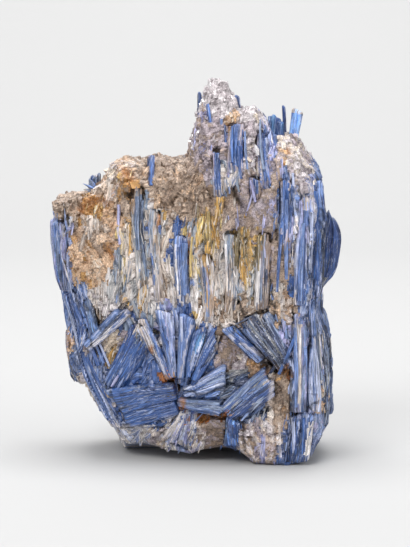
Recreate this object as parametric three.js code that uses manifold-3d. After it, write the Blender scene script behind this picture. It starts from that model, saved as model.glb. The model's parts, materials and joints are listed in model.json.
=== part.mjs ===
// Kyanite blade cluster: groups of blue kyanite blades grown through a mass of milky quartz.
// Millimetres, +Z up, seen from the front along +Y. The origin is on the base, under the middle of the box.
import * as THREE from "three";
import { mergeVertices } from "three/addons/utils/BufferGeometryUtils.js";
import Module from "manifold-3d";

const wasm = await Module();
wasm.setup();

// ---- Driving dimensions -------------------------------------------------------------------------------

const HEART = { x: 0, z: 55 }; // the point that the quartz mass is rounded about, in the front view
const FRONT_DEPTH = 23; // from the middle plane to the front, at x = 0
const FRONT_LEAN = 0.2; // how much deeper the front gets per mm to the right
const BACK_DEPTH = 24;
const SQUARENESS = 5; // 2 is an ellipsoid, and more is boxier
const TAPER_FROM = 84; // above this height the mass gets thinner
const TAPER_TO = 127;
const TAPER = 0.42; // the share of the depth that is lost at the top
const RINGS = 16; // from the front of the mass to its back
const RIDGES = 0.9; // height of the columnar ridges on the mass
const FIT = 0.35; // the gap between a blade group and what is around it
const SINK = 2.5; // how far below the face of the quartz a blade's inner side lies
const BLADE_SHARE = 1.35; // a blade's width in its sheaf, times the number of blades: over 1, so that they overlap
const RISE = 0.1; // how far a blade stands up or down in its sheaf, as a share of the thickness
const RAGGED = 0.12; // how far a blade ends short, as a share of the length
const CENTRE_Y = 2.37; // moves the model so that its box is centred on the origin
const CENTRE_X = 0.15;
const SLANT_SPREAD = 0.5; // how much the slant of the ends differs within a sheaf
const MERGE = 1e-4; // vertices closer than this are one

// The outline of the quartz mass in the front view, anticlockwise from the right end of its base.
const OUTLINE = [
  [34, -8], [39, 0], [41.5, 7], [43, 13], [43.5, 20], [43.5, 28], [42.5, 36], [41.5, 44], [41, 53], [41, 62],
  [41.5, 71], [41.5, 80], [41.5, 88], [40.5, 95], [38.5, 100], [35.5, 104], [32, 106.5], [29, 107], [25.5, 106.5],
  [22, 110.5], [18.5, 115], [15, 114], [12.5, 119], [9.5, 123.5], [5.5, 124.6], [3, 121], [0.8, 113], [-1, 106.5],
  [-4, 100.5], [-9, 98.5], [-14, 99.5], [-19, 97], [-23.5, 98.5], [-27.5, 97], [-30, 92], [-35, 87.5],
  [-41, 86], [-45.5, 85.5], [-47, 81], [-46.5, 74], [-45, 66], [-43, 59], [-42, 51], [-42.5, 43], [-42, 36],
  [-39, 30], [-34.5, 23.5], [-30, 14], [-26.5, 6], [-22, -6], [-11, -10], [1, -11], [13, -11], [24, -10],
];

// Hollows and swells of the front face: where, how wide, and how far it comes forward.
const RELIEF = [
  { x: 12, z: 36, wide: 8, out: -4.5 }, // the quartz pocket
  { x: 28, z: 20, wide: 4, out: -3.5 }, // the brown quartz strip beside the right foot
  { x: 17, z: 82, wide: 8, out: -3 }, // the smooth quartz face
  { x: -36, z: 78, wide: 8, out: -2.5 }, // the stained hollow
  { x: 5, z: 70, wide: 9, out: -1.5 },
  { x: -16, z: 20, wide: 11, out: 2 }, // the swell under the broad plates
  { x: 35, z: 45, wide: 10, out: 2 }, // the right column
  { x: 8, z: 22, wide: 10, out: 2 },
  { x: -18, z: -2, wide: 11, out: -7 }, // the left foot, set back
  { x: 7, z: -1, wide: 6, out: -8 }, // the undercut between the feet
];

// ---- Small helpers --------------------------------------------------------------------------------------

const { lerp, smoothstep, clamp } = THREE.MathUtils;
let seed = 11;
const random = () => (seed = (seed * 16807) % 2147483647) / 2147483647;
const jitter = (size) => (random() * 2 - 1) * size;

// A smooth, repeatable noise from -1 to 1.
const ripple = (a, b) =>
  0.5 * Math.sin(1.7 * a + 0.6 * b) + 0.3 * Math.sin(3.1 * a - 1.1 * b + 2) + 0.2 * Math.sin(5.3 * a + 2.3 * b + 4);

function toSolid(geometry) {
  const bare = (geometry.index ? geometry.toNonIndexed() : geometry.clone())
    .deleteAttribute("normal")
    .deleteAttribute("uv");
  const merged = mergeVertices(bare, MERGE);
  return new wasm.Manifold(
    new wasm.Mesh({
      numProp: 3,
      vertProperties: merged.attributes.position.array,
      triVerts: new Uint32Array(merged.index.array),
    }),
  );
}

function toGeometry(solid) {
  const mesh = solid.getMesh();
  return new THREE.BufferGeometry()
    .setAttribute("position", new THREE.BufferAttribute(mesh.vertProperties, 3))
    .setIndex(new THREE.BufferAttribute(mesh.triVerts, 1))
    .toNonIndexed();
}

const largest = (solid) =>
  solid.decompose().reduce((best, body) => (body.volume() > best.volume() ? body : best));

const union = (solids) => solids.reduce((whole, solid) => whole.add(solid));

// A block for cutting, given by its lowest and highest corner.
function block(low, high) {
  const size = high.map((h, k) => h - low[k]);
  const geometry = new THREE.BoxGeometry(...size);
  geometry.translate(...low.map((l, k) => l + size[k] / 2));
  return toSolid(geometry);
}

// ---- The quartz mass --------------------------------------------------------------------------------------

// The distance from the heart to the outline, in the direction of a point of the front view.
function outlineReach(x, z) {
  const dx = x - HEART.x;
  const dz = z - HEART.z;
  for (let i = 0; i < OUTLINE.length; i++) {
    const [ax, az] = OUTLINE[i];
    const [bx, bz] = OUTLINE[(i + 1) % OUTLINE.length];
    const ex = bx - ax;
    const ez = bz - az;
    const cross = dx * ez - dz * ex;
    if (Math.abs(cross) < 1e-9) continue;
    const along = ((ax - HEART.x) * ez - (az - HEART.z) * ex) / cross;
    const share = ((ax - HEART.x) * dz - (az - HEART.z) * dx) / cross;
    if (along > 0 && share >= -1e-9 && share <= 1 + 1e-9) return along * Math.hypot(dx, dz);
  }
  return Infinity;
}

const taper = (z) => 1 - TAPER * smoothstep(z, TAPER_FROM, TAPER_TO);
const backHalf = (z) => BACK_DEPTH * taper(z);

function frontHalf(x, z) {
  let half = (FRONT_DEPTH + FRONT_LEAN * x) * taper(z);
  for (const r of RELIEF) half += r.out * Math.exp(-((x - r.x) ** 2 + (z - r.z) ** 2) / (r.wide * r.wide));
  return half;
}

// How full the mass is, from 1 at its heart to 0 at its outline.
function fullness(x, z) {
  const share = Math.min(1, Math.hypot(x - HEART.x, z - HEART.z) / outlineReach(x, z));
  return Math.max(0, 1 - share ** SQUARENESS) ** (1 / SQUARENESS);
}

// A ball with its poles at the front and the back, drawn out to the outline and the two half depths.
function quartzMass() {
  const columns = OUTLINE.length;
  const geometry = new THREE.SphereGeometry(1, columns, RINGS);
  const { position, uv } = geometry.attributes;
  for (let i = 0; i < position.count; i++) {
    const column = (Math.round(uv.getX(i) * columns) + columns) % columns;
    const polar = Math.acos(clamp(position.getY(i), -1, 1));
    const inPlane = Math.sin(polar);
    const across = Math.cos(polar);
    const size = (inPlane ** SQUARENESS + Math.abs(across) ** SQUARENESS) ** (-1 / SQUARENESS);
    const share = Math.min(1, size * inPlane);
    const x = lerp(HEART.x, OUTLINE[column][0], share);
    const z = lerp(HEART.z, OUTLINE[column][1], share);
    const half = across < 0 ? backHalf(z) : frontHalf(x, z);
    const ridge = RIDGES * ripple(x * 0.9 + z * 0.05, z * 0.12) * smoothstep(share, 0.1, 0.4);
    position.setXYZ(i, x, -Math.sign(across) * size * Math.abs(across) * (half + ridge), z);
  }
  return toSolid(geometry);
}

// ---- Points on the mass -----------------------------------------------------------------------------------

// A point at a height above the front or the back face.
const front = (x, z, above = 0) => [x, -fullness(x, z) * frontHalf(x, z) - above, z];
const back = (x, z, above = 0) => [x, fullness(x, z) * backHalf(z) + above, z];

// ---- Blades -----------------------------------------------------------------------------------------------

// A flat crystal from its root to its tip, with a slanted end. It faces along facing.
function slab({ root, tip, facing, wide, thick, slant }, grow) {
  const along = new THREE.Vector3(...tip).sub(new THREE.Vector3(...root));
  const length = along.length();
  along.normalize();
  const across = new THREE.Vector3().crossVectors(along, new THREE.Vector3(...facing)).normalize();
  const out = new THREE.Vector3().crossVectors(across, along);
  const end = length + grow;
  const halfAt = (height) => lerp(wide[0], wide[1], height / length) / 2 + grow;
  const right = end - Math.max(0, slant) * wide[1];
  const left = end + Math.min(0, slant) * wide[1];
  const shape = new THREE.Shape();
  shape.moveTo(-halfAt(-grow), -grow).lineTo(halfAt(-grow), -grow);
  shape.lineTo(halfAt(right), right).lineTo(-halfAt(left), left).closePath();
  const geometry = new THREE.ExtrudeGeometry(shape, { depth: thick + 2 * grow, bevelEnabled: false });
  geometry.translate(0, 0, -grow - thick / 2);
  const place = new THREE.Matrix4().makeBasis(across, along, out);
  place.setPosition(...root);
  return toSolid(geometry.applyMatrix4(place));
}

// A sheaf: blades side by side from a root to a tip, each a little turned, raised and shortened.
// It gives the blades, and the one plain slab that the whole sheaf needs as its seat in the quartz.
function sheaf({ root, tip, wide, thick = 4, count = 1, facing = [0, -1, 0], slant = 0.3 }) {
  const a = new THREE.Vector3(...root);
  const b = new THREE.Vector3(...tip);
  const normal = new THREE.Vector3(...facing).normalize();
  const across = b.clone().sub(a).cross(normal).normalize();
  const seat = { root, tip, wide, thick, slant: 0, facing };
  if (count === 1) return { blades: [{ ...seat, slant }], seat };
  const blades = [];
  for (let i = 0; i < count; i++) {
    const shift = (i / (count - 1) - 0.5) * (1 - BLADE_SHARE / count);
    const rise = jitter(thick * RISE);
    const start = a.clone().addScaledVector(across, shift * wide[0]).addScaledVector(normal, rise);
    const end = b.clone().addScaledVector(across, shift * wide[1]).addScaledVector(normal, rise);
    blades.push({
      root: start.toArray(),
      tip: end.lerp(start, random() * RAGGED).toArray(),
      facing,
      wide: wide.map((w) => (w * BLADE_SHARE) / count),
      thick: thick * (1 - 2 * RISE),
      slant: slant + jitter(SLANT_SPREAD),
    });
  }
  return { blades, seat };
}

// A sheaf that lies on the front face, from one point of the front view to another.
const onFront = (from, to, wide, more = {}) => {
  const { thick = 4, proud = thick - SINK } = more;
  const lift = proud - thick / 2;
  return sheaf({ root: front(...from, lift), tip: front(...to, lift), wide, ...more });
};

const onBack = (from, to, wide, more = {}) => {
  const { thick = 5, proud = thick - SINK } = more;
  const lift = proud - thick / 2;
  return sheaf({ root: back(...from, lift), tip: back(...to, lift), wide, facing: [0, 1, 0], ...more });
};

// ---- The blade groups -------------------------------------------------------------------------------------

const DEEP = 0x2f5590;
const BLUE = 0x4f6fa8;
const PALE = 0x8e9ac2;
const GREY = 0x6b7690;
const QUARTZ = 0xb5a8a6;
const KYANITE_ROUGHNESS = 0.4;
const QUARTZ_ROUGHNESS = 0.6;

// Each group is one solid. A group gives way to those above it in this list.
const GROUPS = {
  crossing_blade: [BLUE, onFront([-34.5, 38], [-22.5, 51.5], [3.2, 4.6], { proud: 3.6, thick: 5, slant: -0.4 })],
  long_left_sheaf: [PALE, onFront([-26, 10], [-42, 57], [4, 6.4], { count: 4, proud: 2.4, thick: 5.5 })],
  left_strand: [BLUE, onFront([-30.5, 35], [-36.4, 54], [2.2, 3], { count: 2, proud: 1.8 })],
  left_edge_sheaf: [BLUE, onFront([-44.2, 56], [-46.1, 79.5], [5, 6.2], { count: 4, thick: 8, proud: 3 })],
  left_bulge_blades: [BLUE, onFront([-36, 25], [-41.4, 42], [4, 5], { count: 3, thick: 5.5, proud: 2.2 })],
  inner_left_sheaf: [DEEP, onFront([-26, 25], [-16, 45], [6.5, 9], { count: 5, proud: 1.6 })],
  upper_plate: [DEEP, onFront([-8, 24.5], [-26.5, 19.5], [5, 8.5], { proud: 2.2, slant: -0.3 })],
  lower_plate: [BLUE, onFront([-7, 19], [-23.5, 12.5], [4.5, 6.5], { proud: 1.6, slant: 0.3 })],
  fan_blade_left: [BLUE, onFront([-9.5, 29.5], [-18.5, 47], [2, 4], { proud: 2.2 })],
  fan_blade_pale: [PALE, onFront([-8, 30.5], [-10.8, 50], [2, 5], { proud: 2.8 })],
  fan_blade_middle: [BLUE, onFront([-5.2, 30.5], [-3.2, 49], [2, 5.2], { proud: 2.4 })],
  fan_leaf_left: [DEEP, onFront([-3, 29.5], [1.6, 45.5], [1.8, 4.4], { proud: 3, slant: -0.5 })],
  fan_leaf_right: [BLUE, onFront([-1.2, 28], [6.6, 42.5], [1.8, 4.4], { proud: 2.6, slant: 0.6 })],
  right_fan_plate: [PALE, onFront([-3.6, 24.8], [10, 29.5], [2.6, 8], { proud: 2.6 })],
  sweeping_layers: [BLUE, onFront([-5, 21], [8.5, 18.2], [2.4, 5], { count: 2, proud: 2 })],
  foot_fan: [PALE, onFront([-3.5, 16], [-7.5, 3], [3.5, 10], { count: 4, proud: 1.5 })],
  short_slab: [BLUE, onFront([11.4, 4.5], [12, 15.5], [3.8, 4.2], { proud: 2 })],
  folded_blade: [BLUE, onFront([20, 36], [10.5, 45.5], [2.8, 4], { proud: 2.4 })],
  ragged_slabs: [DEEP, onFront([10.5, 17.5], [24.5, 29], [6.5, 9.5], { count: 5, proud: 1.8 })],
  dark_sheaf: [GREY, onFront([28.5, 33.5], [18.5, 50], [4.5, 11], { count: 5, proud: 1.6 })],
  right_foot_sheaf: [BLUE, onFront([32.5, 1.2], [34.2, 17.5], [8, 6.6], { count: 5, proud: 1.2 })],
  right_column_sheaf: [BLUE, onFront([33, 19], [33.2, 50], [4.2, 5], { count: 4, proud: 2.4 })],
  pale_leaf: [PALE, onFront([38.2, 19], [38.2, 42], [4.4, 1.8], { proud: 2.6 })],
  outer_edge_blades: [GREY, onFront([42.2, 10], [42.4, 38], [3.4, 3.8], { count: 3, thick: 8, proud: 2.6 })],
  right_tall_sheaf_1: [DEEP, onFront([28.6, 70], [29, 94], [3.6, 4.2], { count: 3, proud: 1.4 })],
  right_tall_sheaf_2: [PALE, onFront([34, 54], [35, 90], [4.2, 4.2], { count: 3, proud: 1.8 })],
  right_tall_sheaf_3: [BLUE, onFront([38.8, 57], [39.4, 93], [4, 3.4], { count: 3, thick: 5, proud: 1.4 })],
  right_tall_sheaf_4: [BLUE, onFront([37.8, 44], [38.2, 55], [3.6, 4], { count: 2, proud: 1.4 })],
  back_flake: [DEEP, sheaf({ root: [43.2, 7, 55.5], tip: [45.6, 7, 80.5], wide: [6, 6.8], count: 3, thick: 7 })],
  middle_sheaf_1: [DEEP, onFront([-18, 58], [-19.6, 91], [3.4, 4.2], { count: 3, proud: 1.2 })],
  middle_sheaf_2: [BLUE, onFront([-12, 54], [-13.6, 84], [3.2, 4], { count: 3, proud: 1.2 })],
  middle_sheaf_3: [BLUE, onFront([-4.4, 53], [-5, 75], [3.6, 3.8], { count: 3, proud: 1.4 })],
  middle_sheaf_4: [GREY, onFront([3.6, 48], [3.4, 69], [3.6, 4], { count: 3, proud: 1 })],
  middle_sheaf_5: [GREY, onFront([11.2, 52], [11.4, 77], [3.6, 4], { count: 3, proud: 1 })],
  middle_sheaf_6: [GREY, onFront([21.4, 53], [22, 76], [4, 4.4], { count: 3, proud: 1 })],
  shoulder_blade: [DEEP, sheaf({ root: [-15.5, -9, 88], tip: [-15.5, -9, 100.8], wide: [1.8, 1.6], thick: 1.8 })],
  left_tuft: [DEEP, sheaf({ root: [-33.2, 3, 84], tip: [-33.8, 3, 93.4], wide: [6, 6.6], count: 4, thick: 5 })],
  tower_blade_1: [BLUE, sheaf({ root: [1.6, -5, 108], tip: [1.4, -5, 121], wide: [3.2, 1.6], thick: 2.4 })],
  tower_blade_2: [PALE, sheaf({ root: [13.4, -4, 110], tip: [13.4, -4, 119.6], wide: [2.6, 1.6], thick: 2.4 })],
  tower_sheaf_1: [BLUE, onFront([6.8, 88], [6.8, 103.5], [2.8, 2.6], { count: 2, proud: 1.2 })],
  tower_sheaf_2: [BLUE, onFront([12.6, 96], [12.6, 111], [4.8, 4.8], { count: 4, proud: 1.4 })],
  tower_sheaf_3: [PALE, onFront([18.6, 88], [18.6, 95.5], [2.8, 3], { count: 2, proud: 1 })],
  tower_sheaf_4: [BLUE, onFront([21.4, 92], [21.4, 108], [3.6, 3.4], { count: 3, proud: 1.2 })],
  tower_bundle: [BLUE, sheaf({ root: [26, -7, 92], tip: [25.6, -7, 112.6], wide: [5, 4.8], count: 4, thick: 6 })],
  tower_needle: [DEEP, sheaf({ root: [28.8, -1.5, 100], tip: [28.6, -1.5, 116.2], wide: [1.4, 1], thick: 1.4 })],
  tip_slab: [BLUE, sheaf({ root: [30.6, -6, 98], tip: [33.4, -6, 115.4], wide: [3, 3.8], thick: 3.2, slant: 0.3 })],
  back_sheaf_1: [DEEP, onBack([-22, 12], [-33, 62], [9, 13], { count: 6 })],
  back_sheaf_2: [BLUE, onBack([-9, 20], [-12, 84], [8, 12], { count: 6 })],
  back_sheaf_3: [BLUE, onBack([8, 8], [12, 62], [10, 12], { count: 6 })],
  back_sheaf_4: [GREY, onBack([27, 30], [26, 92], [10, 11], { count: 5 })],
  back_sheaf_5: [DEEP, onBack([5, 68], [8, 106], [7, 9], { count: 4 })],
  left_side_sheaf: [DEEP, sheaf({ root: [-37, 8, 24], tip: [-44, 10, 56], wide: [9, 12], count: 4, facing: [-1, 0, 0] })],
  right_side_sheaf: [
    BLUE,
    sheaf({ root: [42.6, -2, 14], tip: [41.2, 6, 53], wide: [12, 14], count: 5, thick: 6, facing: [1, 0, 0] }),
  ],
};

// ---- Assembly ---------------------------------------------------------------------------------------------

const cluster = new THREE.Group();
const floor = block([-90, -90, -60], [90, 90, 0]);

function addNode(name, solid, color, roughness) {
  const material = new THREE.MeshStandardMaterial({ color, roughness, metalness: 0, flatShading: true });
  const mesh = new THREE.Mesh(toGeometry(solid), material);
  mesh.name = name;
  mesh.position.set(CENTRE_X, CENTRE_Y, 0);
  cluster.add(mesh);
}

let taken = null; // the space of the groups placed so far, with the gap around it
for (const [name, [color, { blades, seat }]] of Object.entries(GROUPS)) {
  let group = union(blades.map((blade) => slab(blade, 0))).subtract(floor);
  if (taken) group = group.subtract(taken);
  addNode(name, largest(group), color, KYANITE_ROUGHNESS);
  const space = slab(seat, FIT);
  taken = taken ? taken.add(space) : space;
}
addNode("quartz_matrix", largest(quartzMass().subtract(floor).subtract(taken)), QUARTZ, QUARTZ_ROUGHNESS);

export default cluster;
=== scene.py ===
"""Kyanite blade cluster: striated blue kyanite blades grown through milky, iron-stained quartz."""

import json
import math

import bpy
import numpy as np
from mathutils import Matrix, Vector, noise
from mathutils.bvhtree import BVHTree
from mathutils.kdtree import KDTree


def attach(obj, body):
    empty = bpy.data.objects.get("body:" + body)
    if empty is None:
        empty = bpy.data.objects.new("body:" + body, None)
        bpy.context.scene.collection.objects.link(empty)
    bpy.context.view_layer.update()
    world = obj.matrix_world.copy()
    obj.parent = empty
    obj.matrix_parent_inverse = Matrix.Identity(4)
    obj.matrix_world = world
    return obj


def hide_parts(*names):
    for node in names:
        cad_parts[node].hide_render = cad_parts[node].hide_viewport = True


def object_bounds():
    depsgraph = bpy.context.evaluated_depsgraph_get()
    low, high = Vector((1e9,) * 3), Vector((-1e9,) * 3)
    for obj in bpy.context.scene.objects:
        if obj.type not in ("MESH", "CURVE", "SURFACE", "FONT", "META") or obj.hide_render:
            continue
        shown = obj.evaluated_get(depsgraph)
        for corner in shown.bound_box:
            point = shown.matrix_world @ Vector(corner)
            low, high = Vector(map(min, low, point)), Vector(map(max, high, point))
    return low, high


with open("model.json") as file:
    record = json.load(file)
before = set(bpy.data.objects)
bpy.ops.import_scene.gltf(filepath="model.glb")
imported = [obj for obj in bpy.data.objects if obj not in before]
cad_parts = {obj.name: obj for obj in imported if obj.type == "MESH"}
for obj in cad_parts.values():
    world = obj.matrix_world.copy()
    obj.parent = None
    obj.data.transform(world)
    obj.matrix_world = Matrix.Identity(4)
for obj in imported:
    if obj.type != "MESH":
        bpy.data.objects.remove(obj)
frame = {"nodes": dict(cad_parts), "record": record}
cad_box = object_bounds()
rng = np.random.default_rng(7)
noise.seed_set(2)  # without it noise_vector differs from run to run

MM = 0.001  # every length below is in millimetres until a mesh is made

# ---- Colours -------------------------------------------------------------------------------------

# Each ground is what a patch of the surface is made of: its make, its dark and its light colour. The ground
# shade is no mineral but painted shade, a dark brown for the hollows, counted with the quartz.
GROUNDS = {
    "deep": ("kyanite", "#182F66", "#4268A8"),
    "blue": ("kyanite", "#39548A", "#768FC2"),
    "bright": ("kyanite", "#3A6CC0", "#93BCF2"),
    "pale": ("kyanite", "#7A8AB8", "#C8CFE6"),
    "lilac": ("kyanite", "#7276A8", "#B8B6D8"),
    "steel": ("kyanite", "#445676", "#8E9DB8"),
    "night": ("kyanite", "#171F38", "#35466E"),
    "teal": ("kyanite", "#284F86", "#679ACA"),
    "dusty": ("kyanite", "#56667E", "#9AA8BA"),
    "grey": ("fibre", "#74767A", "#BAB9BA"),
    "white": ("fibre", "#B4ACAA", "#F0EAE8"),
    "beige": ("fibre", "#9E8E84", "#E0D3C8"),
    "ochre": ("fibre", "#8A6228", "#DCAE5C"),
    "yellow": ("fibre", "#A88A4C", "#E4CA88"),
    "olive": ("fibre", "#5C4E34", "#9A8862"),
    "milk": ("quartz", "#9A8E92", "#E2DADC"),
    "rose": ("quartz", "#85787F", "#C0B2B8"),
    "cream": ("quartz", "#B8A48E", "#E8DCCE"),
    "peach": ("quartz", "#AE8A6E", "#E2C1A2"),
    "orange": ("quartz", "#906538", "#CC9E60"),
    "tan": ("quartz", "#927A68", "#CDB7A4"),
    "brown": ("quartz", "#6A5546", "#A48E7C"),
    "smoky": ("quartz", "#877367", "#BCA799"),
    "rust": ("quartz", "#74401F", "#B87440"),
    # painted shade: a dark brown for the shadow deep in hollows, not a quartz of its own
    "shade": ("quartz", "#302826", "#5C4E4A"),
}


def linear(hex_colour):
    """An sRGB hex colour as linear RGB."""
    parts = [int(hex_colour[i : i + 2], 16) / 255 for i in (1, 3, 5)]
    return np.array([c / 12.92 if c < 0.04045 else ((c + 0.055) / 1.055) ** 2.4 for c in parts])


def rgba(hex_colour):
    """The same as an opaque colour for a material."""
    return (*linear(hex_colour), 1)


# What a stretch of the surface is a mixture of, as ground and share.
MIXES = {
    "plates": {"deep": 0.8, "blue": 0.12, "night": 0.06, "pale": 0.02},
    "clear_blue": {"blue": 0.55, "deep": 0.3, "pale": 0.15},
    "navy": {"deep": 0.6, "night": 0.2, "blue": 0.2},
    "blue_pale": {"blue": 0.45, "pale": 0.35, "lilac": 0.12, "deep": 0.08},
    "lilac_blue": {"lilac": 0.35, "pale": 0.3, "blue": 0.25, "white": 0.1},
    "slate": {"steel": 0.36, "night": 0.4, "blue": 0.14, "grey": 0.1},
    "frosty": {"lilac": 0.16, "pale": 0.24, "white": 0.28, "beige": 0.18, "blue": 0.14},
    "striped": {"grey": 0.26, "beige": 0.3, "white": 0.16, "dusty": 0.16, "blue": 0.04, "yellow": 0.08},
    "striped_blue": {"dusty": 0.3, "steel": 0.06, "blue": 0.06, "white": 0.16, "grey": 0.18, "beige": 0.24},
    "striped_warm": {"beige": 0.34, "ochre": 0.14, "grey": 0.2, "tan": 0.18, "white": 0.14},
    "chalky": {"white": 0.45, "beige": 0.35, "milk": 0.2},
    "mustard": {"ochre": 0.6, "yellow": 0.28, "olive": 0.12},
    "olives": {"olive": 0.62, "ochre": 0.3, "tan": 0.08},
    "rough": {"tan": 0.34, "beige": 0.22, "peach": 0.18, "brown": 0.18, "milk": 0.08},
    # rough_dark holds a little of the painted shade ground, for the shadow in its hollows
    "rough_dark": {"brown": 0.32, "shade": 0.06, "tan": 0.5, "beige": 0.12},
    "brownish": {"tan": 0.24, "brown": 0.64, "peach": 0.12},
    "rim": {"brown": 0.4, "smoky": 0.36, "tan": 0.24},
    "peach": {"peach": 0.7, "orange": 0.1, "tan": 0.06, "cream": 0.14},
    "amber": {"orange": 0.72, "brown": 0.18, "yellow": 0.1},
    "milky": {"milk": 0.5, "rose": 0.3, "cream": 0.2},
    "tower": {"rose": 0.6, "smoky": 0.28, "lilac": 0.12},
    "cap": {"milk": 1.0},
    "smoky": {"smoky": 0.6, "rose": 0.3, "lilac": 0.1},
    "creamy": {"cream": 0.6, "milk": 0.25, "rose": 0.15},
    "pocket": {"smoky": 0.3, "rose": 0.36, "brown": 0.34},
    "tongue": {"peach": 0.5, "cream": 0.5},
    # the foot is pale, and this mix is paler still as painted light against the shade under the undercut
    "left_foot": {"white": 0.55, "pale": 0.45},
    "foot": {"tan": 0.35, "rose": 0.3, "milk": 0.15, "brown": 0.1, "lilac": 0.1},
    "bark": {"brown": 0.35, "tan": 0.55, "orange": 0.1},
    "rusty": {"rust": 0.85, "orange": 0.15},
    # painted shade, for hollows and cavities
    "shade": {"shade": 1.0},
}

# The front, as seen from the front: x and z in mm, half width and half height of the stretch, and its mix.
FRONT = [
    # left shoulder and the stained hollow under it
    (-44, 84, 4, 5, "rim"), (-38, 88, 5, 3, "rim"), (-45, 70, 4, 12, "lilac_blue"),
    (-40, 80, 2.5, 4, "rough_dark"), (-34, 84, 4, 3, "amber"), (-37, 80, 2, 3, "amber"),
    (-32, 76, 6, 5, "rough"), (-36, 66, 7, 7, "peach"), (-28, 70, 1.6, 3, "amber"),
    (-28, 79, 4, 6, "peach"), (-31, 57.5, 6, 3, "chalky"), (-24, 97, 5, 4, "rough"),
    (-23, 94, 3, 4, "amber"), (-28, 97, 2, 4, "creamy"), (-22, 86, 3, 5, "bark"),
    (-29, 88, 3, 4, "rough"), (-22, 76, 3, 5, "striped_warm"), (-14, 95, 5, 4, "brownish"),
    (-8, 92, 8, 5, "brownish"), (-6, 98, 6, 4, "rim"), (-16, 100, 5, 3, "rim"),
    (-5, 85, 4, 4, "rough_dark"), (-1, 92, 6, 5, "brownish"), (3, 85, 1.6, 2.5, "amber"),
    # middle band of columns
    (-22, 66, 5, 7, "striped"), (-16, 70, 4, 12, "striped_blue"), (-11, 74, 3, 7, "striped_warm"),
    (-9, 64, 3, 8, "chalky"), (-5, 64, 3, 9, "plates"), (-1, 64, 3, 8, "striped"),
    (5.2, 74, 3.4, 7, "mustard"), (3, 66, 4, 6, "striped_warm"), (8, 72, 3, 6, "striped"),
    (10, 62, 5, 7, "striped"), (17, 70, 4.6, 9, "olives"), (23, 68, 3, 7, "smoky"),
    (20, 60, 5, 5, "striped"), (-26, 58, 4, 4, "striped"), (-20, 57, 5, 4, "striped_warm"),
    (-12, 56, 5, 4, "chalky"), (-9, 59, 2, 3, "bark"), (0, 51, 1.3, 3.6, "mustard"),
    (-25.6, 54.5, 0.9, 1.6, "mustard"), (-3, 56, 3, 4, "chalky"), (11, 52, 5, 5, "rough_dark"),
    (5, 52, 4, 4, "rough"), (19, 53, 4, 4, "rough_dark"), (30, 53, 4, 6, "rough"),
    # smooth quartz and the tower
    (18, 84, 6, 7, "smoky"), (12, 88, 3, 4, "rough_dark"), (9, 94, 4, 5, "striped_blue"),
    (21, 92, 4, 5, "smoky"), (4, 98, 5, 6, "tower"), (3, 108, 5, 8, "tower"), (8, 119, 6, 6, "cap"),
    (10, 113, 3, 2, "peach"), (18, 104, 3.5, 8, "milky"), (18, 115, 4, 4, "cap"), (24, 96, 4, 6, "tower"),
    (13, 105, 3, 7, "tower"), (30, 107, 4, 4, "creamy"), (30.2, 102, 1.6, 1.8, "peach"),
    (34, 97, 4, 5, "milky"), (39, 101, 3, 4, "milky"), (23, 106, 3, 6, "lilac_blue"),
    # right of the middle, upper part
    (28, 86, 3, 9, "plates"), (33, 85, 3, 6, "frosty"), (37, 88, 3, 8, "frosty"), (41, 88, 3, 9, "navy"),
    (28, 70, 3, 6, "pocket"), (33, 74, 4, 10, "frosty"), (38, 70, 3, 12, "plates"),
    (42, 70, 3, 14, "slate"), (26, 62, 3, 5, "plates"), (35, 60, 4, 6, "plates"),
    (38, 50, 4, 8, "blue_pale"),
    # left side, lower part
    (-42, 38, 3, 5, "peach"), (-41, 30, 4, 4, "navy"), (-38, 46, 5, 10, "clear_blue"),
    (-33, 47, 4, 4, "rough_dark"), (-29, 53, 6, 3, "chalky"), (-27.4, 35.6, 2.4, 3.4, "olives"),
    (-25.0, 39.5, 4.2, 6.0, "creamy"), (-30, 24, 4, 8, "blue_pale"), (-34, 20, 3, 8, "creamy"),
    (-20, 34, 8, 9, "plates"), (-24, 44, 5, 5, "plates"), (-15, 44, 4, 6, "striped_blue"),
    (-14, 34, 4, 6, "plates"), (-17, 18, 12, 6, "plates"), (-19, 8, 7, 3, "left_foot"),
    (-28, 11, 4, 3, "left_foot"),
    # centre fan
    (-9, 42, 4, 7, "lilac_blue"), (-4, 40, 4, 8, "plates"), (3, 38, 4, 7, "plates"),
    # the shade stretch on this line is painted shade at the dark root of the fan, where the surface also
    # sinks
    (-8, 28.5, 1.2, 1.6, "rusty"), (-7, 24, 1.0, 1.8, "shade"), (-4.6, 20, 0.7, 1.2, "rusty"),
    (6, 47, 4, 3, "chalky"),
    # below the fan
    (4, 26, 6, 4, "clear_blue"), (2, 19, 6, 3, "plates"), (3, 15.6, 6, 0.9, "rusty"),
    (-5, 9, 6, 7, "frosty"), (-11, 7, 3, 4, "milky"), (4, 9, 4, 4, "pocket"), (12, 10, 3, 6, "plates"),
    (20, 10, 6, 6, "foot"), (22, 6, 2, 2, "lilac_blue"), (19, 14, 5, 1.2, "creamy"),
    (13, 24, 5, 6, "slate"), (20, 22, 5, 6, "slate"),
    # quartz pocket and what is right of it
    (10, 38, 4, 5, "pocket"), (16, 40, 1.4, 3, "slate"), (18.5, 33, 2.4, 2.2, "peach"),
    # the shade stretch on this line is painted shade in the dark cavity right of the quartz pocket, where
    # the surface also sinks
    (14, 35, 2, 3, "milky"), (25.2, 34.4, 3.2, 2.2, "shade"), (21, 42, 6, 7, "slate"),
    (28, 42, 4, 7, "blue_pale"), (29.5, 30.5, 1.8, 2.2, "rusty"), (28, 21, 3, 8, "bark"),
    (24.5, 22, 1.2, 7, "creamy"), (34, 30, 4, 16, "blue_pale"), (39, 32, 3, 9, "frosty"),
    (41, 21, 2.6, 5, "tongue"), (44, 26, 3, 14, "slate"), (33, 9, 5, 7, "navy"),
    (39, 10, 3, 6, "blue_pale"), (43, 10, 3, 7, "slate"),
]

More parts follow.
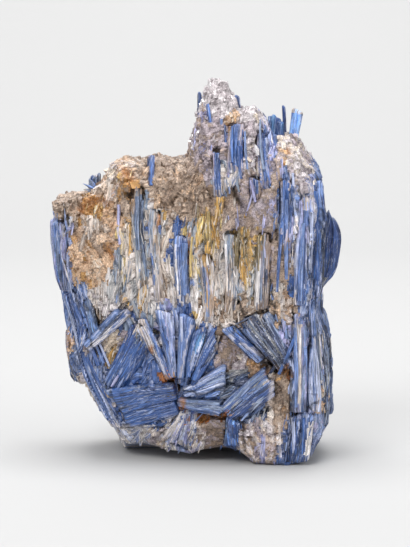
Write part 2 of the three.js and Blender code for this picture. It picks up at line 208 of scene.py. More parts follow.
# The back: the same, seen from the front through the piece.
BACK = [
    (-38, 76, 9, 12, "rough"), (-22, 88, 10, 10, "rough"), (-8, 84, 8, 12, "striped_warm"),
    (-30, 50, 10, 14, "plates"), (-18, 64, 8, 10, "striped"), (-36, 32, 8, 8, "milky"),
    (-16, 38, 9, 12, "blue_pale"), (-22, 14, 9, 9, "creamy"), (0, 60, 9, 12, "striped_blue"),
    (-2, 22, 9, 12, "slate"), (6, 96, 9, 12, "tower"), (10, 116, 9, 8, "cap"), (16, 74, 8, 10, "chalky"),
    (12, 44, 8, 10, "plates"), (16, 12, 9, 8, "pocket"), (26, 94, 8, 9, "milky"),
    (32, 66, 8, 12, "slate"), (30, 36, 8, 10, "striped_blue"), (34, 12, 8, 8, "plates"),
    (40, 86, 6, 12, "lilac_blue"), (42, 50, 6, 12, "blue_pale"), (4, 78, 5, 6, "peach"),
    (-30, 70, 5, 6, "amber"),
]

# Open cracks over the front, as x and z in mm along each, with the crack's half width. Along them the
# surface sinks and its colour is darkened as painted shade.
CRACKS = [
    ([(-7.2, 25.5), (-5.7, 19.5), (-7.0, 14), (-11, 10.5), (-22, 10), (-25, 9)], 0.45),
    ([(12, 91), (13, 88), (14.5, 85)], 0.7), ([(32, 16), (35.5, 18), (36.5, 20.5), (39.5, 21.5)], 0.5),
    ([(31.3, 52), (31, 36), (31.5, 20), (30, 4)], 0.45),
    ([(38.5, 62), (41, 45), (42.5, 28), (41, 12)], 0.5),
    ([(-41, 57), (-33, 38), (-26, 20), (-22, 9)], 0.4), ([(-38, 53), (-34, 49), (-31, 44)], 0.8),
    ([(-31, 42), (-22, 53)], 0.4), ([(-24, 22), (-15, 25), (-8, 27)], 0.35),
    ([(-8, 27), (2, 24), (12, 27)], 0.4), ([(-3, 29), (4, 35), (9, 43)], 0.35),
    ([(0, 17), (9, 15), (20, 17), (24, 19)], 0.5), ([(20, 38), (23.5, 35), (27, 33)], 1.0),
    ([(12, 44), (16, 50), (13, 55)], 0.5), ([(9, 3), (10, 14)], 0.4), ([(16, 2), (15.5, 14)], 0.4),
    ([(36, 57), (37.5, 44), (36, 30)], 0.35), ([(24, 64), (26, 50), (30, 40)], 0.4),
    ([(-44, 60), (-42, 72), (-43, 84)], 0.5), ([(-23, 88.5), (-22, 88.5)], 0.9),
    ([(26, 74), (27, 92)], 0.4), ([(31, 70), (31, 88)], 0.35), ([(36, 62), (36, 82)], 0.35),
    ([(41, 60), (40, 84)], 0.5),
]
# Iron stain that seeped out of cracks, in the same way, with the stain's half width.
STAINS = [
    ([(-10, 29.5), (-8, 27.5), (-6.5, 25)], 0.8), ([(-4.2, 21.5), (-3.5, 18)], 0.7),
    ([(0, 16.3), (4, 15.5), (8, 16)], 0.6), ([(29, 31.5), (30.5, 31)], 1.1), ([(22, 31), (29, 34)], 0.5),
    ([(-38, 82), (-34, 85), (-30, 86)], 1.6), ([(-29, 71), (-28, 68)], 1.0),
    ([(-2.3, 76), (-2.3, 66)], 0.5), ([(-12.5, 83), (-12, 78)], 0.5), ([(-24, 96), (-22, 93)], 1.5),
    ([(30, 103), (30.6, 101.5)], 0.6), ([(-15, 39), (-15, 37)], 0.6),
]

# Thin ridges of white quartz that stand out of the front, in the same way.
VEINS = [
    ([(17.5, 15), (19.5, 9), (22, 3.5)], 0.5), ([(27.5, 14), (27, 3)], 0.5),
    ([(24.5, 31), (24.8, 8)], 0.6), ([(11, 43), (16, 40), (21.5, 37), (24, 31)], 0.5),
    ([(-22.5, 50), (-14, 37), (-9, 28)], 0.35), ([(-2, 46), (-6, 27)], 0.3),
    ([(-27, 10.5), (-18, 10), (-12, 7)], 0.8), ([(0, 14), (2.5, 8), (1, 3)], 0.5),
    ([(-7, 16), (-11, 9)], 0.4), ([(36, 92), (38, 80)], 0.4), ([(32, 82), (32.5, 66)], 0.35),
    ([(37, 62), (36.5, 50), (37.5, 44)], 0.35), ([(30, 56), (33, 34)], 0.3),
]
# Single blades that lie on the front: x and z in mm of the root and of the tip, width, and ground.
SINGLES = [
    (4.2, 111, 3.8, 117, 1.2, "deep"), (8.4, 103, 7.6, 113, 1.2, "blue"),
    (9.6, 104, 9.2, 110.5, 0.9, "deep"), (28.2, 95, 25.4, 105.5, 2.0, "deep"),
    (21.6, 97, 20.6, 110, 1.0, "steel"), (18.6, 87, 17.4, 94, 1.0, "lilac"),
    (14.6, 94, 14.2, 104, 1.3, "deep"), (12.0, 99, 11.4, 110, 1.2, "deep"),
    (16.6, 97, 15.8, 108, 0.9, "blue"), (-15.2, 91, -15.0, 99.6, 2.0, "deep"),
    (-19.4, 70, -19.8, 88, 1.8, "steel"), (-25.2, 72, -25.4, 85, 1.2, "lilac"),
    (-4.4, 56, -3.8, 73, 2.0, "blue"), (-1.6, 62, -1.2, 75, 1.0, "yellow"),
    (-10.6, 70, -11.6, 79, 1.2, "blue"), (29.5, 62, 28.6, 88, 1.6, "blue"),
    (33.5, 55, 33.8, 80, 1.8, "blue"), (36.6, 64, 36.4, 84, 1.4, "pale"),
    (39.6, 60, 39.0, 90, 1.6, "deep"), (31.4, 74, 31.4, 96, 1.2, "pale"),
    (26.6, 58, 27.4, 76, 1.3, "deep"), (42.4, 22, 42.6, 43, 1.0, "night"),
    (41.2, 25, 40.9, 42, 0.8, "white"), (-40.5, 52, -30.5, 31, 1.6, "deep"),
    (-38.0, 51, -29.0, 32, 1.2, "blue"), (-36.0, 50, -27.5, 31, 0.9, "pale"),
    (-34.5, 34, -26.0, 15, 1.4, "deep"), (-33.0, 36, -25.0, 17, 0.9, "pale"),
    (12.8, 42.5, 17.5, 36.5, 2.4, "deep"), (-9.5, 28.5, -19.5, 46, 1.0, "lilac"),
    (-5.0, 29, -12, 45, 1.4, "deep"), (-4.0, 30, -5.4, 49, 1.2, "pale"),
    (-2.5, 30, -0.6, 48, 1.6, "deep"), (-1.0, 29, 5.8, 44.5, 2.0, "deep"),
    (23.5, 30, 29.5, 40, 1.5, "night"), (27, 31, 32, 43, 1.5, "deep"), (34.5, 3, 34.8, 16, 1.4, "deep"),
    (31.5, 4, 31.6, 15, 1.2, "pale"), (41.6, 9, 42.8, 26, 1.4, "deep"), (12.4, 3, 12.2, 14, 2.2, "deep"),
    (36.2, 20, 35.4, 40, 1.6, "blue"), (32.5, 20, 32.0, 46, 1.5, "blue"),
    (40.8, 28, 40.2, 46, 1.4, "steel"),
]

# How far the front of the base is off the ground, at each x, in mm.
UNDERCUT = [
    (-30, 6), (-24, 4), (-17, 4.8), (-10, 3.5), (-2, 2.5), (2, 4), (8, 5), (14, 4), (19, 0.6), (30, 0),
    (36, 1.5), (42, 4.5),
]

# Where the outline swells or draws in: x and z in mm, reach along x and z, and shift along x and z.
SWELLS = [
    (-38, 26, 12, 13, -2.8, 0), (46, 51, 7, 7, -3.2, 0), (48, 68, 5, 12, 0, -1.6),
    (40, 104, 5, 6, -1.5, -1.0), (-4, 100, 4, 4, 1.4, -0.8), (22, 113, 5, 4, 0, 1.4),
    (-47, 85, 5, 5, -1.2, 0), (43.5, 80, 3, 4, 1.0, 0), (48.5, 82, 4, 5, -2.4, 0),
    (46, 24, 4, 9, -0.9, 0),
]

# ---- Sizes ---------------------------------------------------------------------------------------

MASS_GRID = 0.68  # grid that the quartz mass is remeshed on
GROUP_GRID = 0.45  # grid that a blade group is remeshed on
PATCH_COUNT = 7000  # small blades and quartz faces tried over the mass
SPLINTER_COUNT = 11000  # single loose splinters over the mass
GRAIN_COUNT = 900  # broken quartz grains over the rough stretches
CRYSTAL_COUNT = 2600  # small quartz crystals tried over the mass
TUFT_COUNT = 34  # needles of the tuft on the left shoulder
MARGIN = 0.8  # how far the looks may stand out of the CAD box
STRETCHES = 16  # stretches along a blade that are coloured apart
LAYERS = 29  # slices of the pattern, so that neighbours don't share their streaks
BACKWARD = 0.35  # the y of a normal from which a face belongs to the back
BASE = 0.1  # what lies lower than this is the flat base


# ---- Reading the frame ---------------------------------------------------------------------------


def arrays_of(node):
    """A CAD node's points in mm, and its triangles."""
    mesh = frame["nodes"][node].data
    points = np.empty(len(mesh.vertices) * 3)
    mesh.vertices.foreach_get("co", points)
    mesh.calc_loop_triangles()
    faces = np.empty(len(mesh.loop_triangles) * 3, np.int32)
    mesh.loop_triangles.foreach_get("vertices", faces)
    return points.reshape(-1, 3) / MM, faces.reshape(-1, 3)


SLOTS = {row["node"]: row["material_slot"] for row in frame["record"]["subparts"]}
GROUPS = sorted(name for name in frame["nodes"] if name != "quartz_matrix")
LOW = np.array(cad_box[0]) / MM
HIGH = np.array(cad_box[1]) / MM


def unit(vectors):
    """The vectors at length 1."""
    return vectors / np.maximum(np.linalg.norm(vectors, axis=-1, keepdims=True), 1e-9)


def facing_of(name):
    """The side of the piece that a blade group lies on."""
    if name.startswith("back_sheaf"):
        return Vector((0, 1, 0))
    if name.startswith("left_side"):
        return Vector((-1, 0, 0))
    if name.startswith("right_side"):
        return Vector((1, 0, 0))
    return Vector((0, -1, 0))


def main_direction(points, faces):
    """The middle of a solid's surface, and the direction that it is longest in, pointing up."""
    corners = points[faces]
    cross = np.cross(corners[:, 1] - corners[:, 0], corners[:, 2] - corners[:, 0])
    area = np.linalg.norm(cross, axis=1)[:, None]
    middles = corners.mean(1)
    centre = (middles * area).sum(0) / area.sum()
    spread = ((middles - centre) * area).T @ (middles - centre)
    along = Vector(np.linalg.eigh(spread)[1][:, 2])
    return centre, -along if along.z < 0 else along


class Seat:
    """Where a blade group lies: its root, its tip, its widths there, its thickness and its directions."""

    def __init__(self, name):
        points, faces = arrays_of(name)
        centre, along = main_direction(points, faces)
        facing = facing_of(name)
        self.name = name
        self.out = (facing - along * facing.dot(along)).normalized()
        sidewise = along.cross(self.out).normalized()
        reach, across, outward = ((points - centre) @ np.array(way) for way in (along, sidewise, self.out))
        ends = self.ends(reach, across)
        depth = (outward.max() + outward.min()) / 2
        self.root, self.tip = (
            Vector(centre) + along * place + sidewise * shift + self.out * depth for place, shift, _ in ends
        )
        self.wide = (ends[0][2], ends[1][2])
        self.thick = outward.max() - outward.min()
        self.along = (self.tip - self.root).normalized()
        self.long = (self.tip - self.root).length
        self.side = self.along.cross(self.out).normalized()

    @staticmethod
    def ends(reach, across):
        """For the root and the tip: place along, middle across, width. A much narrower end is the root."""
        span = reach.max() - reach.min()
        found = []
        for place, chosen in (
            (reach.min(), reach < reach.min() + 0.3 * span),
            (reach.max(), reach > reach.max() - 0.3 * span),
        ):
            low, high = across[chosen].min(), across[chosen].max()
            found.append((place, (high + low) / 2, high - low))
        return found[::-1] if found[1][2] < 0.75 * found[0][2] else found


SEATS = {name: Seat(name) for name in GROUPS}


def tree_of(names):
    """A search tree over the surfaces of some CAD nodes."""
    all_points, all_faces, first = [], [], 0
    for name in names:
        points, faces = arrays_of(name)
        all_points.append(points)
        all_faces.append(faces + first)
        first += len(points)
    return BVHTree.FromPolygons(np.vstack(all_points).tolist(), np.vstack(all_faces).tolist())


WHOLE_TREE = tree_of(list(frame["nodes"]))


# ---- What lies where -----------------------------------------------------------------------------

MIX_NAMES = list(MIXES)
GROUND_NAMES = list(GROUNDS)
DARKS = np.array([linear(GROUNDS[name][1]) for name in GROUND_NAMES])
LIGHTS = np.array([linear(GROUNDS[name][2]) for name in GROUND_NAMES])
MAKES = {"kyanite": 0, "fibre": 1, "quartz": 2}
MAKE_OF = np.array([MAKES[GROUNDS[name][0]] for name in GROUND_NAMES])
SHARES = np.array([[MIXES[mix].get(name, 0.0) for name in GROUND_NAMES] for mix in MIX_NAMES])
RUNNING = np.cumsum(SHARES / SHARES.sum(1, keepdims=True), axis=1)


def mix_numbers(*names):
    """The numbers of some mixes."""
    return [MIX_NAMES.index(name) for name in names]


def zone_arrays(rows):
    """Rows of stretches as numbers, and the number of each one's mix."""
    numbers = np.array([row[:4] for row in rows], float)
    return numbers, np.array(mix_numbers(*(row[4] for row in rows)))


FRONT_ZONES = zone_arrays(FRONT)
BACK_ZONES = zone_arrays(BACK)


def wobble(points, scale, size):
    """A smooth displacement for each point."""
    return np.array([noise.noise_vector(Vector(p) * scale) for p in points]) * size


def lumps_at(points, scale, octaves=4):
    """Lumpy noise at each point, of so many lumps per mm."""
    return np.array([noise.fractal(Vector(p) * scale, 0.7, 2.1, octaves) for p in points])


def mixes_at(points, normals):
    """For each point of the surface, the mix of grounds there."""
    moved = points + wobble(points, 0.3, 1.6)
    found = np.empty(len(points), int)
    for back, (numbers, mixes) in ((False, FRONT_ZONES), (True, BACK_ZONES)):
        here = (normals[:, 1] > BACKWARD) == back
        away = ((moved[here, 0:1] - numbers[:, 0]) / numbers[:, 2]) ** 2
        away += ((moved[here, 2:3] - numbers[:, 1]) / numbers[:, 3]) ** 2
        found[here] = mixes[away.argmin(1)]
    return found


def near_lines(points, normals, lines):
    """How deep in one of these lines each point of the front lies: 1 on a line, 0 away from it."""
    found = np.zeros(len(points))
    flat = points[:, ::2] + wobble(points, 0.6, 0.7)[:, ::2]
    for line, half in lines:
        for start, end in zip(np.array(line[:-1], float), np.array(line[1:], float)):
            step = end - start
            share = np.clip((flat - start) @ step / (step @ step), 0, 1)
            away = np.linalg.norm(flat - start - share[:, None] * step, axis=1)
            found = np.maximum(found, np.exp(-((away / half) ** 2)))
    return found * (normals[:, 1] < BACKWARD)


VEIN_COLOUR = linear("#E4DAD6")
STAIN_COLOUR = linear("#9A6636")


def stained(hue, points, normals):
    """Colours darkened along the cracks as painted shade, browned by the iron stains and whitened by the
    veins.
    """
    dark = near_lines(points, normals, CRACKS)[:, None]
    rust = near_lines(points, normals, STAINS)[:, None]
    pale = 0.55 * near_lines(points, normals, VEINS)[:, None]
    veined = hue * (1 - pale) + VEIN_COLOUR * pale
    browned = veined * (1 - rust) + STAIN_COLOUR * rust * rng.uniform(0.5, 1.2, (len(points), 1))
    # painted shade: up to three quarters darker along the cracks
    return browned * (1 - 0.75 * dark)


def ground_at(mixes, chances):
    """The ground that each chance, from 0 to 1, picks from a mix by its shares."""
    return (RUNNING[mixes] < chances[:, None]).sum(1).clip(0, len(GROUND_NAMES) - 1)


def grounds_in(mixes):
    """A random ground for each mix."""
    return ground_at(mixes, rng.random(len(mixes)))


def hue_of(grounds, shares):
    """Colours between the grounds' dark and light ones."""
    shares = np.asarray(shares)[..., None]
    return DARKS[grounds] * (1 - shares) + LIGHTS[grounds] * shares


SEAT_LIST = list(SEATS.values())
SEAT_MIDDLES = np.array([(seat.root + seat.tip) / 2 for seat in SEAT_LIST])
SEAT_HALVES = np.array([(seat.tip - seat.root) / 2 for seat in SEAT_LIST])
SEAT_ALONGS = np.array([seat.along for seat in SEAT_LIST])
SEAT_OUTS = np.array([seat.out for seat in SEAT_LIST])


def flows_at(points, normals):
    """The direction that blades grow in at each point: that of the blade groups around it, else upright."""
    gap = points[:, None] - SEAT_MIDDLES
    share = np.clip((gap * SEAT_HALVES).sum(2) / (SEAT_HALVES**2).sum(1), -1, 1)
    away = ((gap - SEAT_HALVES * share[:, :, None]) ** 2).sum(2)
    weight = np.clip(normals @ SEAT_OUTS.T, 0, 1) / (away + 6) ** 1.5
    spread = np.einsum("ps,si,sj->pij", weight, SEAT_ALONGS, SEAT_ALONGS)
    spread[:, 2, 2] += 0.0006
    along = np.linalg.eigh(spread)[1][:, :, 2]
    along = unit(along - normals * (along * normals).sum(1, keepdims=True))
    return along * np.where(along[:, 2:3] < 0, -1, 1)


# ---- Meshes --------------------------------------------------------------------------------------


def inside_box(points):
    """Keeps points within the CAD box and its margin, and on or above the base."""
    low, high = LOW - MARGIN, HIGH + MARGIN
    low[2] = 0
    return np.clip(points, low, high)


def with_alpha(colours):
    """The same colours, opaque."""
    return np.concatenate([colours, np.ones((*colours.shape[:-1], 1))], -1)


def face_looks(hue, fleck, grain):
    """Looks of a mesh of quads where each face is of one colour."""
    return {
        "hue": np.repeat(hue[:, None], 4, axis=1),
        "fleck": np.repeat(fleck[:, None], 4, axis=1),
        "grain": grain,
    }


def mesh_object(name, points, faces, looks, materials, kinds=None):
    """A piece from points in mm; looks holds each corner's two colours and its place across and along."""
    mesh = bpy.data.meshes.new(name)
    mesh.from_pydata((inside_box(points) * MM).tolist(), [], faces.tolist())
    for key in ("hue", "fleck"):
        attribute = mesh.attributes.new(key, "FLOAT_COLOR", "CORNER")
        attribute.data.foreach_set("color", with_alpha(looks[key]).astype(np.float32).ravel())
    attribute = mesh.attributes.new("grain", "FLOAT_VECTOR", "CORNER")
    attribute.data.foreach_set("vector", np.asarray(looks["grain"], np.float32).ravel())
    for material in materials:
        mesh.materials.append(material)
    if kinds is not None:
        mesh.polygons.foreach_set("material_index", kinds)
    mesh.update()
    piece = bpy.data.objects.new(name, mesh)
    bpy.context.scene.collection.objects.link(piece)
    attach(piece, "root")
    return piece


def remeshed(node, grid):
    """A CAD node on an even grid, as points, normals and quads."""
    source = frame["nodes"][node]
    copy = bpy.data.objects.new("grid", source.data.copy())
    bpy.context.scene.collection.objects.link(copy)
    modifier = copy.modifiers.new("grid", "REMESH")
    modifier.mode = "VOXEL"
    modifier.voxel_size = grid * MM
    bpy.context.view_layer.update()
    evaluated = copy.evaluated_get(bpy.context.evaluated_depsgraph_get())
    mesh = bpy.data.meshes.new_from_object(evaluated)
    bpy.data.objects.remove(copy)
    points = np.empty(len(mesh.vertices) * 3)
    mesh.vertices.foreach_get("co", points)
    normals = np.empty(len(mesh.vertices) * 3)
    mesh.vertices.foreach_get("normal", normals)
    faces = np.empty(len(mesh.loops), np.int32)
    mesh.loops.foreach_get("vertex_index", faces)
    bpy.data.meshes.remove(mesh)
    return points.reshape(-1, 3) / MM, normals.reshape(-1, 3), faces.reshape(-1, 4)


def weathered(points):
    """The same bend for everything, so that neighbours stay in touch, and the front edge off the ground."""
    free = np.clip(points[:, 2:3] / 3, 0, 1)  # 0 at the base, 1 from 3 mm up
    moved = points + wobble(points, 0.055, 1.0) * free
    for x, z, reach_x, reach_z, shift_x, shift_z in SWELLS:
        away_x = ((points[:, 0] - x) / reach_x) ** 2
        away_z = ((points[:, 2] - z) / reach_z) ** 2
        near = np.exp(-away_x - away_z) * free[:, 0]
        moved[:, 0] += near * shift_x
        moved[:, 2] += near * shift_z
    in_front = np.clip((8 - moved[:, 1]) / 12, 0, 1)  # 1 at the front, 0 from 8 mm behind the middle
    lift = np.interp(moved[:, 0], *np.transpose(UNDERCUT)) * in_front
    moved[:, 2] += lift * np.clip(1 - moved[:, 2] / 14, 0, 1)
    return moved


# ---- Materials -----------------------------------------------------------------------------------


def add(tree, kind, inputs=None, **settings):
    """Adds a node with its settings, and sets each input or links it to a socket or a node's output."""
    made = tree.nodes.new(kind)
    for key, value in settings.items():
        setattr(made, key, value)
    for key, value in (inputs or {}).items():
        if isinstance(value, bpy.types.Node):
            value = next(output for output in value.outputs if output.enabled)
        if isinstance(value, bpy.types.NodeSocket):
            tree.links.new(value, made.inputs[key])
        else:
            made.inputs[key].default_value = value
    return made


def new_material(name):
    """An empty material and its nodes."""
    material = bpy.data.materials.new(name)
    material.use_nodes = True
    material.node_tree.nodes.clear()
    return material, material.node_tree


def along_growth(tree, wide, long, layer):
    """Where a point is in its blade's growth, in steps of so many mm across it and along it.

    Layer is how far apart the pattern's slices for different blades lie.
    """
    grain = add(tree, "ShaderNodeAttribute", attribute_name="grain")
    steps = {0: grain.outputs["Vector"], 1: (1 / wide, 1 / long, layer)}
    return add(tree, "ShaderNodeVectorMath", steps, operation="MULTIPLY")


def streaks(tree, wide, long, layer, detail=4.0):
    """Lines drawn out along the growth, each about so many mm wide and long."""
    place = along_growth(tree, wide, long, layer)
    lines = {"Vector": place, "Scale": 1.0, "Detail": detail, "Roughness": 0.72}
    return add(tree, "ShaderNodeTexNoise", lines)


def bladed_material(name, glint_colour, glint_strength, gloss, seam_shade):
    """Kyanite, split along its perfect cleavage, which leaves long flat faces that shine like silk.

    Striations 0.36 mm wide run along the blades. Pale streaks are painted highlights, the silky sheen of
    the cleavage faces, and thin dark lines are painted shade in the seams between blades. Real striae are
    finer than this; these are as coarse as they need to be to show.
    """
    material, tree = new_material(name)
    hue = add(tree, "ShaderNodeAttribute", attribute_name="hue")
    fleck = add(tree, "ShaderNodeAttribute", attribute_name="fleck")
    broad = streaks(tree, 0.9, 13.0, 37.0, 6.0)
    fine = streaks(tree, 0.36, 8.0, 37.0)
    glint = streaks(tree, 0.35, 4.0, 48.0)
    seam = streaks(tree, 0.32, 6.5, 63.0)

    patch = {"Value": broad, "From Min": 0.46, "From Max": 0.56}
    patch = add(tree, "ShaderNodeMapRange", patch)
    light = {"Value": fine, "From Min": 0.36, "From Max": 0.64, "To Min": 0.28, "To Max": 1.7}
    light = add(tree, "ShaderNodeMapRange", light)
    # painted highlights: pale silky glint streaks along the blades
    glint_share = {"Value": glint, "From Min": 0.55, "From Max": 0.62, "To Max": glint_strength}
    glint_share = add(tree, "ShaderNodeMapRange", glint_share)
    # painted shade: thin dark lines in the seams between blades
    specks_and_seam_shade = {"Value": seam, "From Min": 0.37, "From Max": 0.42, "To Min": seam_shade, "To Max": 0.0}
    specks_and_seam_shade = add(tree, "ShaderNodeMapRange", specks_and_seam_shade)
    rough = {"Value": broad, "From Min": 0.35, "From Max": 0.7, "To Min": gloss, "To Max": gloss + 0.25}
    rough = add(tree, "ShaderNodeMapRange", rough)

    # Inputs 0, 6 and 7 of a mix of colours are its share and its two colours.
    base = add(tree, "ShaderNodeMix", {0: patch, 6: hue, 7: fleck}, data_type="RGBA")
    lined = {0: 1.0, 6: base, 7: light}
    lined = add(tree, "ShaderNodeMix", lined, data_type="RGBA", blend_type="MULTIPLY")
    with_painted_glints = add(tree, "ShaderNodeMix", {0: glint_share, 6: lined, 7: rgba(glint_colour)}, data_type="RGBA")
    dirty = add(tree, "ShaderNodeMix", {0: specks_and_seam_shade, 6: with_painted_glints, 7: rgba("#2C2A34")}, data_type="RGBA")
    relief = add(tree, "ShaderNodeBump", {"Height": fine, "Strength": 0.8, "Distance": 0.0004})
    faces = {"Base Color": dirty, "Roughness": rough, "IOR": 1.72, "Specular IOR Level": 0.4}
    shader = add(tree, "ShaderNodeBsdfPrincipled", {**faces, "Normal": relief})
    add(tree, "ShaderNodeOutputMaterial", {"Surface": shader})
    return material


def quartz_material():
    """Massive milky quartz, which has no cleavage and breaks into greasy little faces at all angles.

    The faces are about 1.25 by 2.5 mm and cloudy inside, and each is painted a little lighter or darker,
    as painted light and shade of faces turned at all angles. Dark brown specks 0.67 mm wide lie over it.
    """
    material, tree = new_material("milky_quartz")
    hue = add(tree, "ShaderNodeAttribute", attribute_name="hue")
    fleck = add(tree, "ShaderNodeAttribute", attribute_name="fleck")
    place = add(tree, "ShaderNodeTexCoord").outputs["Object"]
    broad = streaks(tree, 0.9, 2.0, 37.0, 6.0)
    cloud = streaks(tree, 0.36, 0.67, 37.0)
    pits = {"Vector": place, "Scale": 1 / (0.67 * MM), "Detail": 3.0, "Roughness": 0.7}
    speck = add(tree, "ShaderNodeTexNoise", pits)
    breaks = {"Vector": along_growth(tree, 1.25, 2.5, 37.0), "Scale": 1.0}
    face = add(tree, "ShaderNodeTexVoronoi", breaks).outputs["Color"]

    patch = add(tree, "ShaderNodeMapRange", {"Value": broad, "From Min": 0.45, "From Max": 0.56})
    light = {"Value": cloud, "From Min": 0.36, "From Max": 0.64, "To Min": 0.42, "To Max": 1.5}
    light = add(tree, "ShaderNodeMapRange", light)
    # painted light and shade: each broken face a little lighter or darker, as faces turned at all angles
    # catch the light
    shade = add(tree, "ShaderNodeMapRange", {"Value": face, "To Min": 0.8, "To Max": 1.2})
    specks_and_seam_shade = {"Value": speck, "From Min": 0.33, "From Max": 0.4, "To Min": 0.55, "To Max": 0.0}
    specks_and_seam_shade = add(tree, "ShaderNodeMapRange", specks_and_seam_shade)
    rough = add(tree, "ShaderNodeMapRange", {"Value": face, "To Min": 0.2, "To Max": 0.55})

    # Inputs 0, 6 and 7 of a mix of colours are its share and its two colours.
    base = add(tree, "ShaderNodeMix", {0: patch, 6: hue, 7: fleck}, data_type="RGBA")
    cloudy = {0: 1.0, 6: base, 7: light}
    cloudy = add(tree, "ShaderNodeMix", cloudy, data_type="RGBA", blend_type="MULTIPLY")
    broken = {0: 0.6, 6: cloudy, 7: shade}
    broken = add(tree, "ShaderNodeMix", broken, data_type="RGBA", blend_type="MULTIPLY")
    dirty = add(tree, "ShaderNodeMix", {0: specks_and_seam_shade, 6: broken, 7: rgba("#4A3B36")}, data_type="RGBA")
    relief = add(tree, "ShaderNodeBump", {"Height": cloud, "Strength": 0.6, "Distance": 0.0004})
    faces = {"Base Color": dirty, "Roughness": rough, "IOR": 1.544, "Normal": relief}
    shader = add(tree, "ShaderNodeBsdfPrincipled", faces)
    add(tree, "ShaderNodeOutputMaterial", {"Surface": shader})
    return material


def clear_quartz_material():
    """Clear quartz, grown into open space: colourless and glassy, hazy where tiny cracks healed in it.

    The hazy patches are about 2 mm wide.
    """
    material, tree = new_material("clear_quartz")
    place = add(tree, "ShaderNodeTexCoord").outputs["Object"]
    haze = {"Vector": place, "Scale": 1 / (2.0 * MM), "Detail": 4.0, "Roughness": 0.6}
    haze = add(tree, "ShaderNodeTexNoise", haze)
    milk = add(tree, "ShaderNodeMapRange", {"Value": haze, "From Min": 0.35, "From Max": 0.65})
    rough = {"Value": haze, "From Min": 0.3, "From Max": 0.7, "To Min": 0.1, "To Max": 0.4}
    rough = add(tree, "ShaderNodeMapRange", rough)
    tint = {0: milk, 6: rgba("#D8CED2"), 7: rgba("#F8F4F5")}
    tint = add(tree, "ShaderNodeMix", tint, data_type="RGBA")
    relief = add(tree, "ShaderNodeBump", {"Height": haze, "Strength": 0.4, "Distance": 0.0003})
    faces = {"Base Color": tint, "Roughness": rough, "IOR": 1.544, "Transmission Weight": 0.6}
    shader = add(tree, "ShaderNodeBsdfPrincipled", {**faces, "Normal": relief})
    add(tree, "ShaderNodeOutputMaterial", {"Surface": shader})
    return material


def paper_material():
    """Matt paper board, uncoated."""
    material, tree = new_material("pale_paper")
    shader = add(tree, "ShaderNodeBsdfPrincipled", {"Base Color": rgba("#B6B6B6"), "Roughness": 0.9})
    add(tree, "ShaderNodeOutputMaterial", {"Surface": shader})
    return material


# After the name come the colour and the share of the painted highlight streaks, the roughness, and the
# strength of the painted seam shade.
KYANITE = bladed_material("striated_kyanite", "#CDD3EC", 0.5, 0.28, 0.6)
FIBRE = bladed_material("stained_fibrous_kyanite", "#E8E2DC", 0.75, 0.42, 0.8)
QUARTZ = quartz_material()
CLEAR = clear_quartz_material()
MATERIALS = [KYANITE, FIBRE, QUARTZ]


# ---- Patches of the mass -------------------------------------------------------------------------


def scatter(node, count):
    """Points spread over a CAD node's surface, with their normals; none on its base."""
    points, faces = arrays_of(node)
    corners = points[faces]
    cross = np.cross(corners[:, 1] - corners[:, 0], corners[:, 2] - corners[:, 0])
    area = np.linalg.norm(cross, axis=1)
    chance = area * (corners.mean(1)[:, 2] > BASE / 2)
    picked = rng.choice(len(faces), count, p=chance / chance.sum())
    u, v = rng.random((2, count))
    fold = u + v > 1
    u[fold], v[fold] = 1 - u[fold], 1 - v[fold]
    first, second, third = corners[picked].transpose(1, 0, 2)
    places = first + (second - first) * u[:, None] + (third - first) * v[:, None]
    return places, cross[picked] / area[picked, None]


COMMON_FACE = (1.7, 3.0)  # width and length of quartz's broken faces
# The same for the mixes where they differ.
FACES = {
    "tower": (2.2, 7.0), "cap": (2.2, 4.5), "smoky": (5.0, 8.0), "pocket": (4.0, 5.0),
    "milky": (3.0, 4.5), "bark": (3.0, 8.0), "creamy": (2.2, 4.0), "brownish": (1.3, 5.0),
    "rough": (1.5, 4.5), "rim": (1.4, 4.5),
}


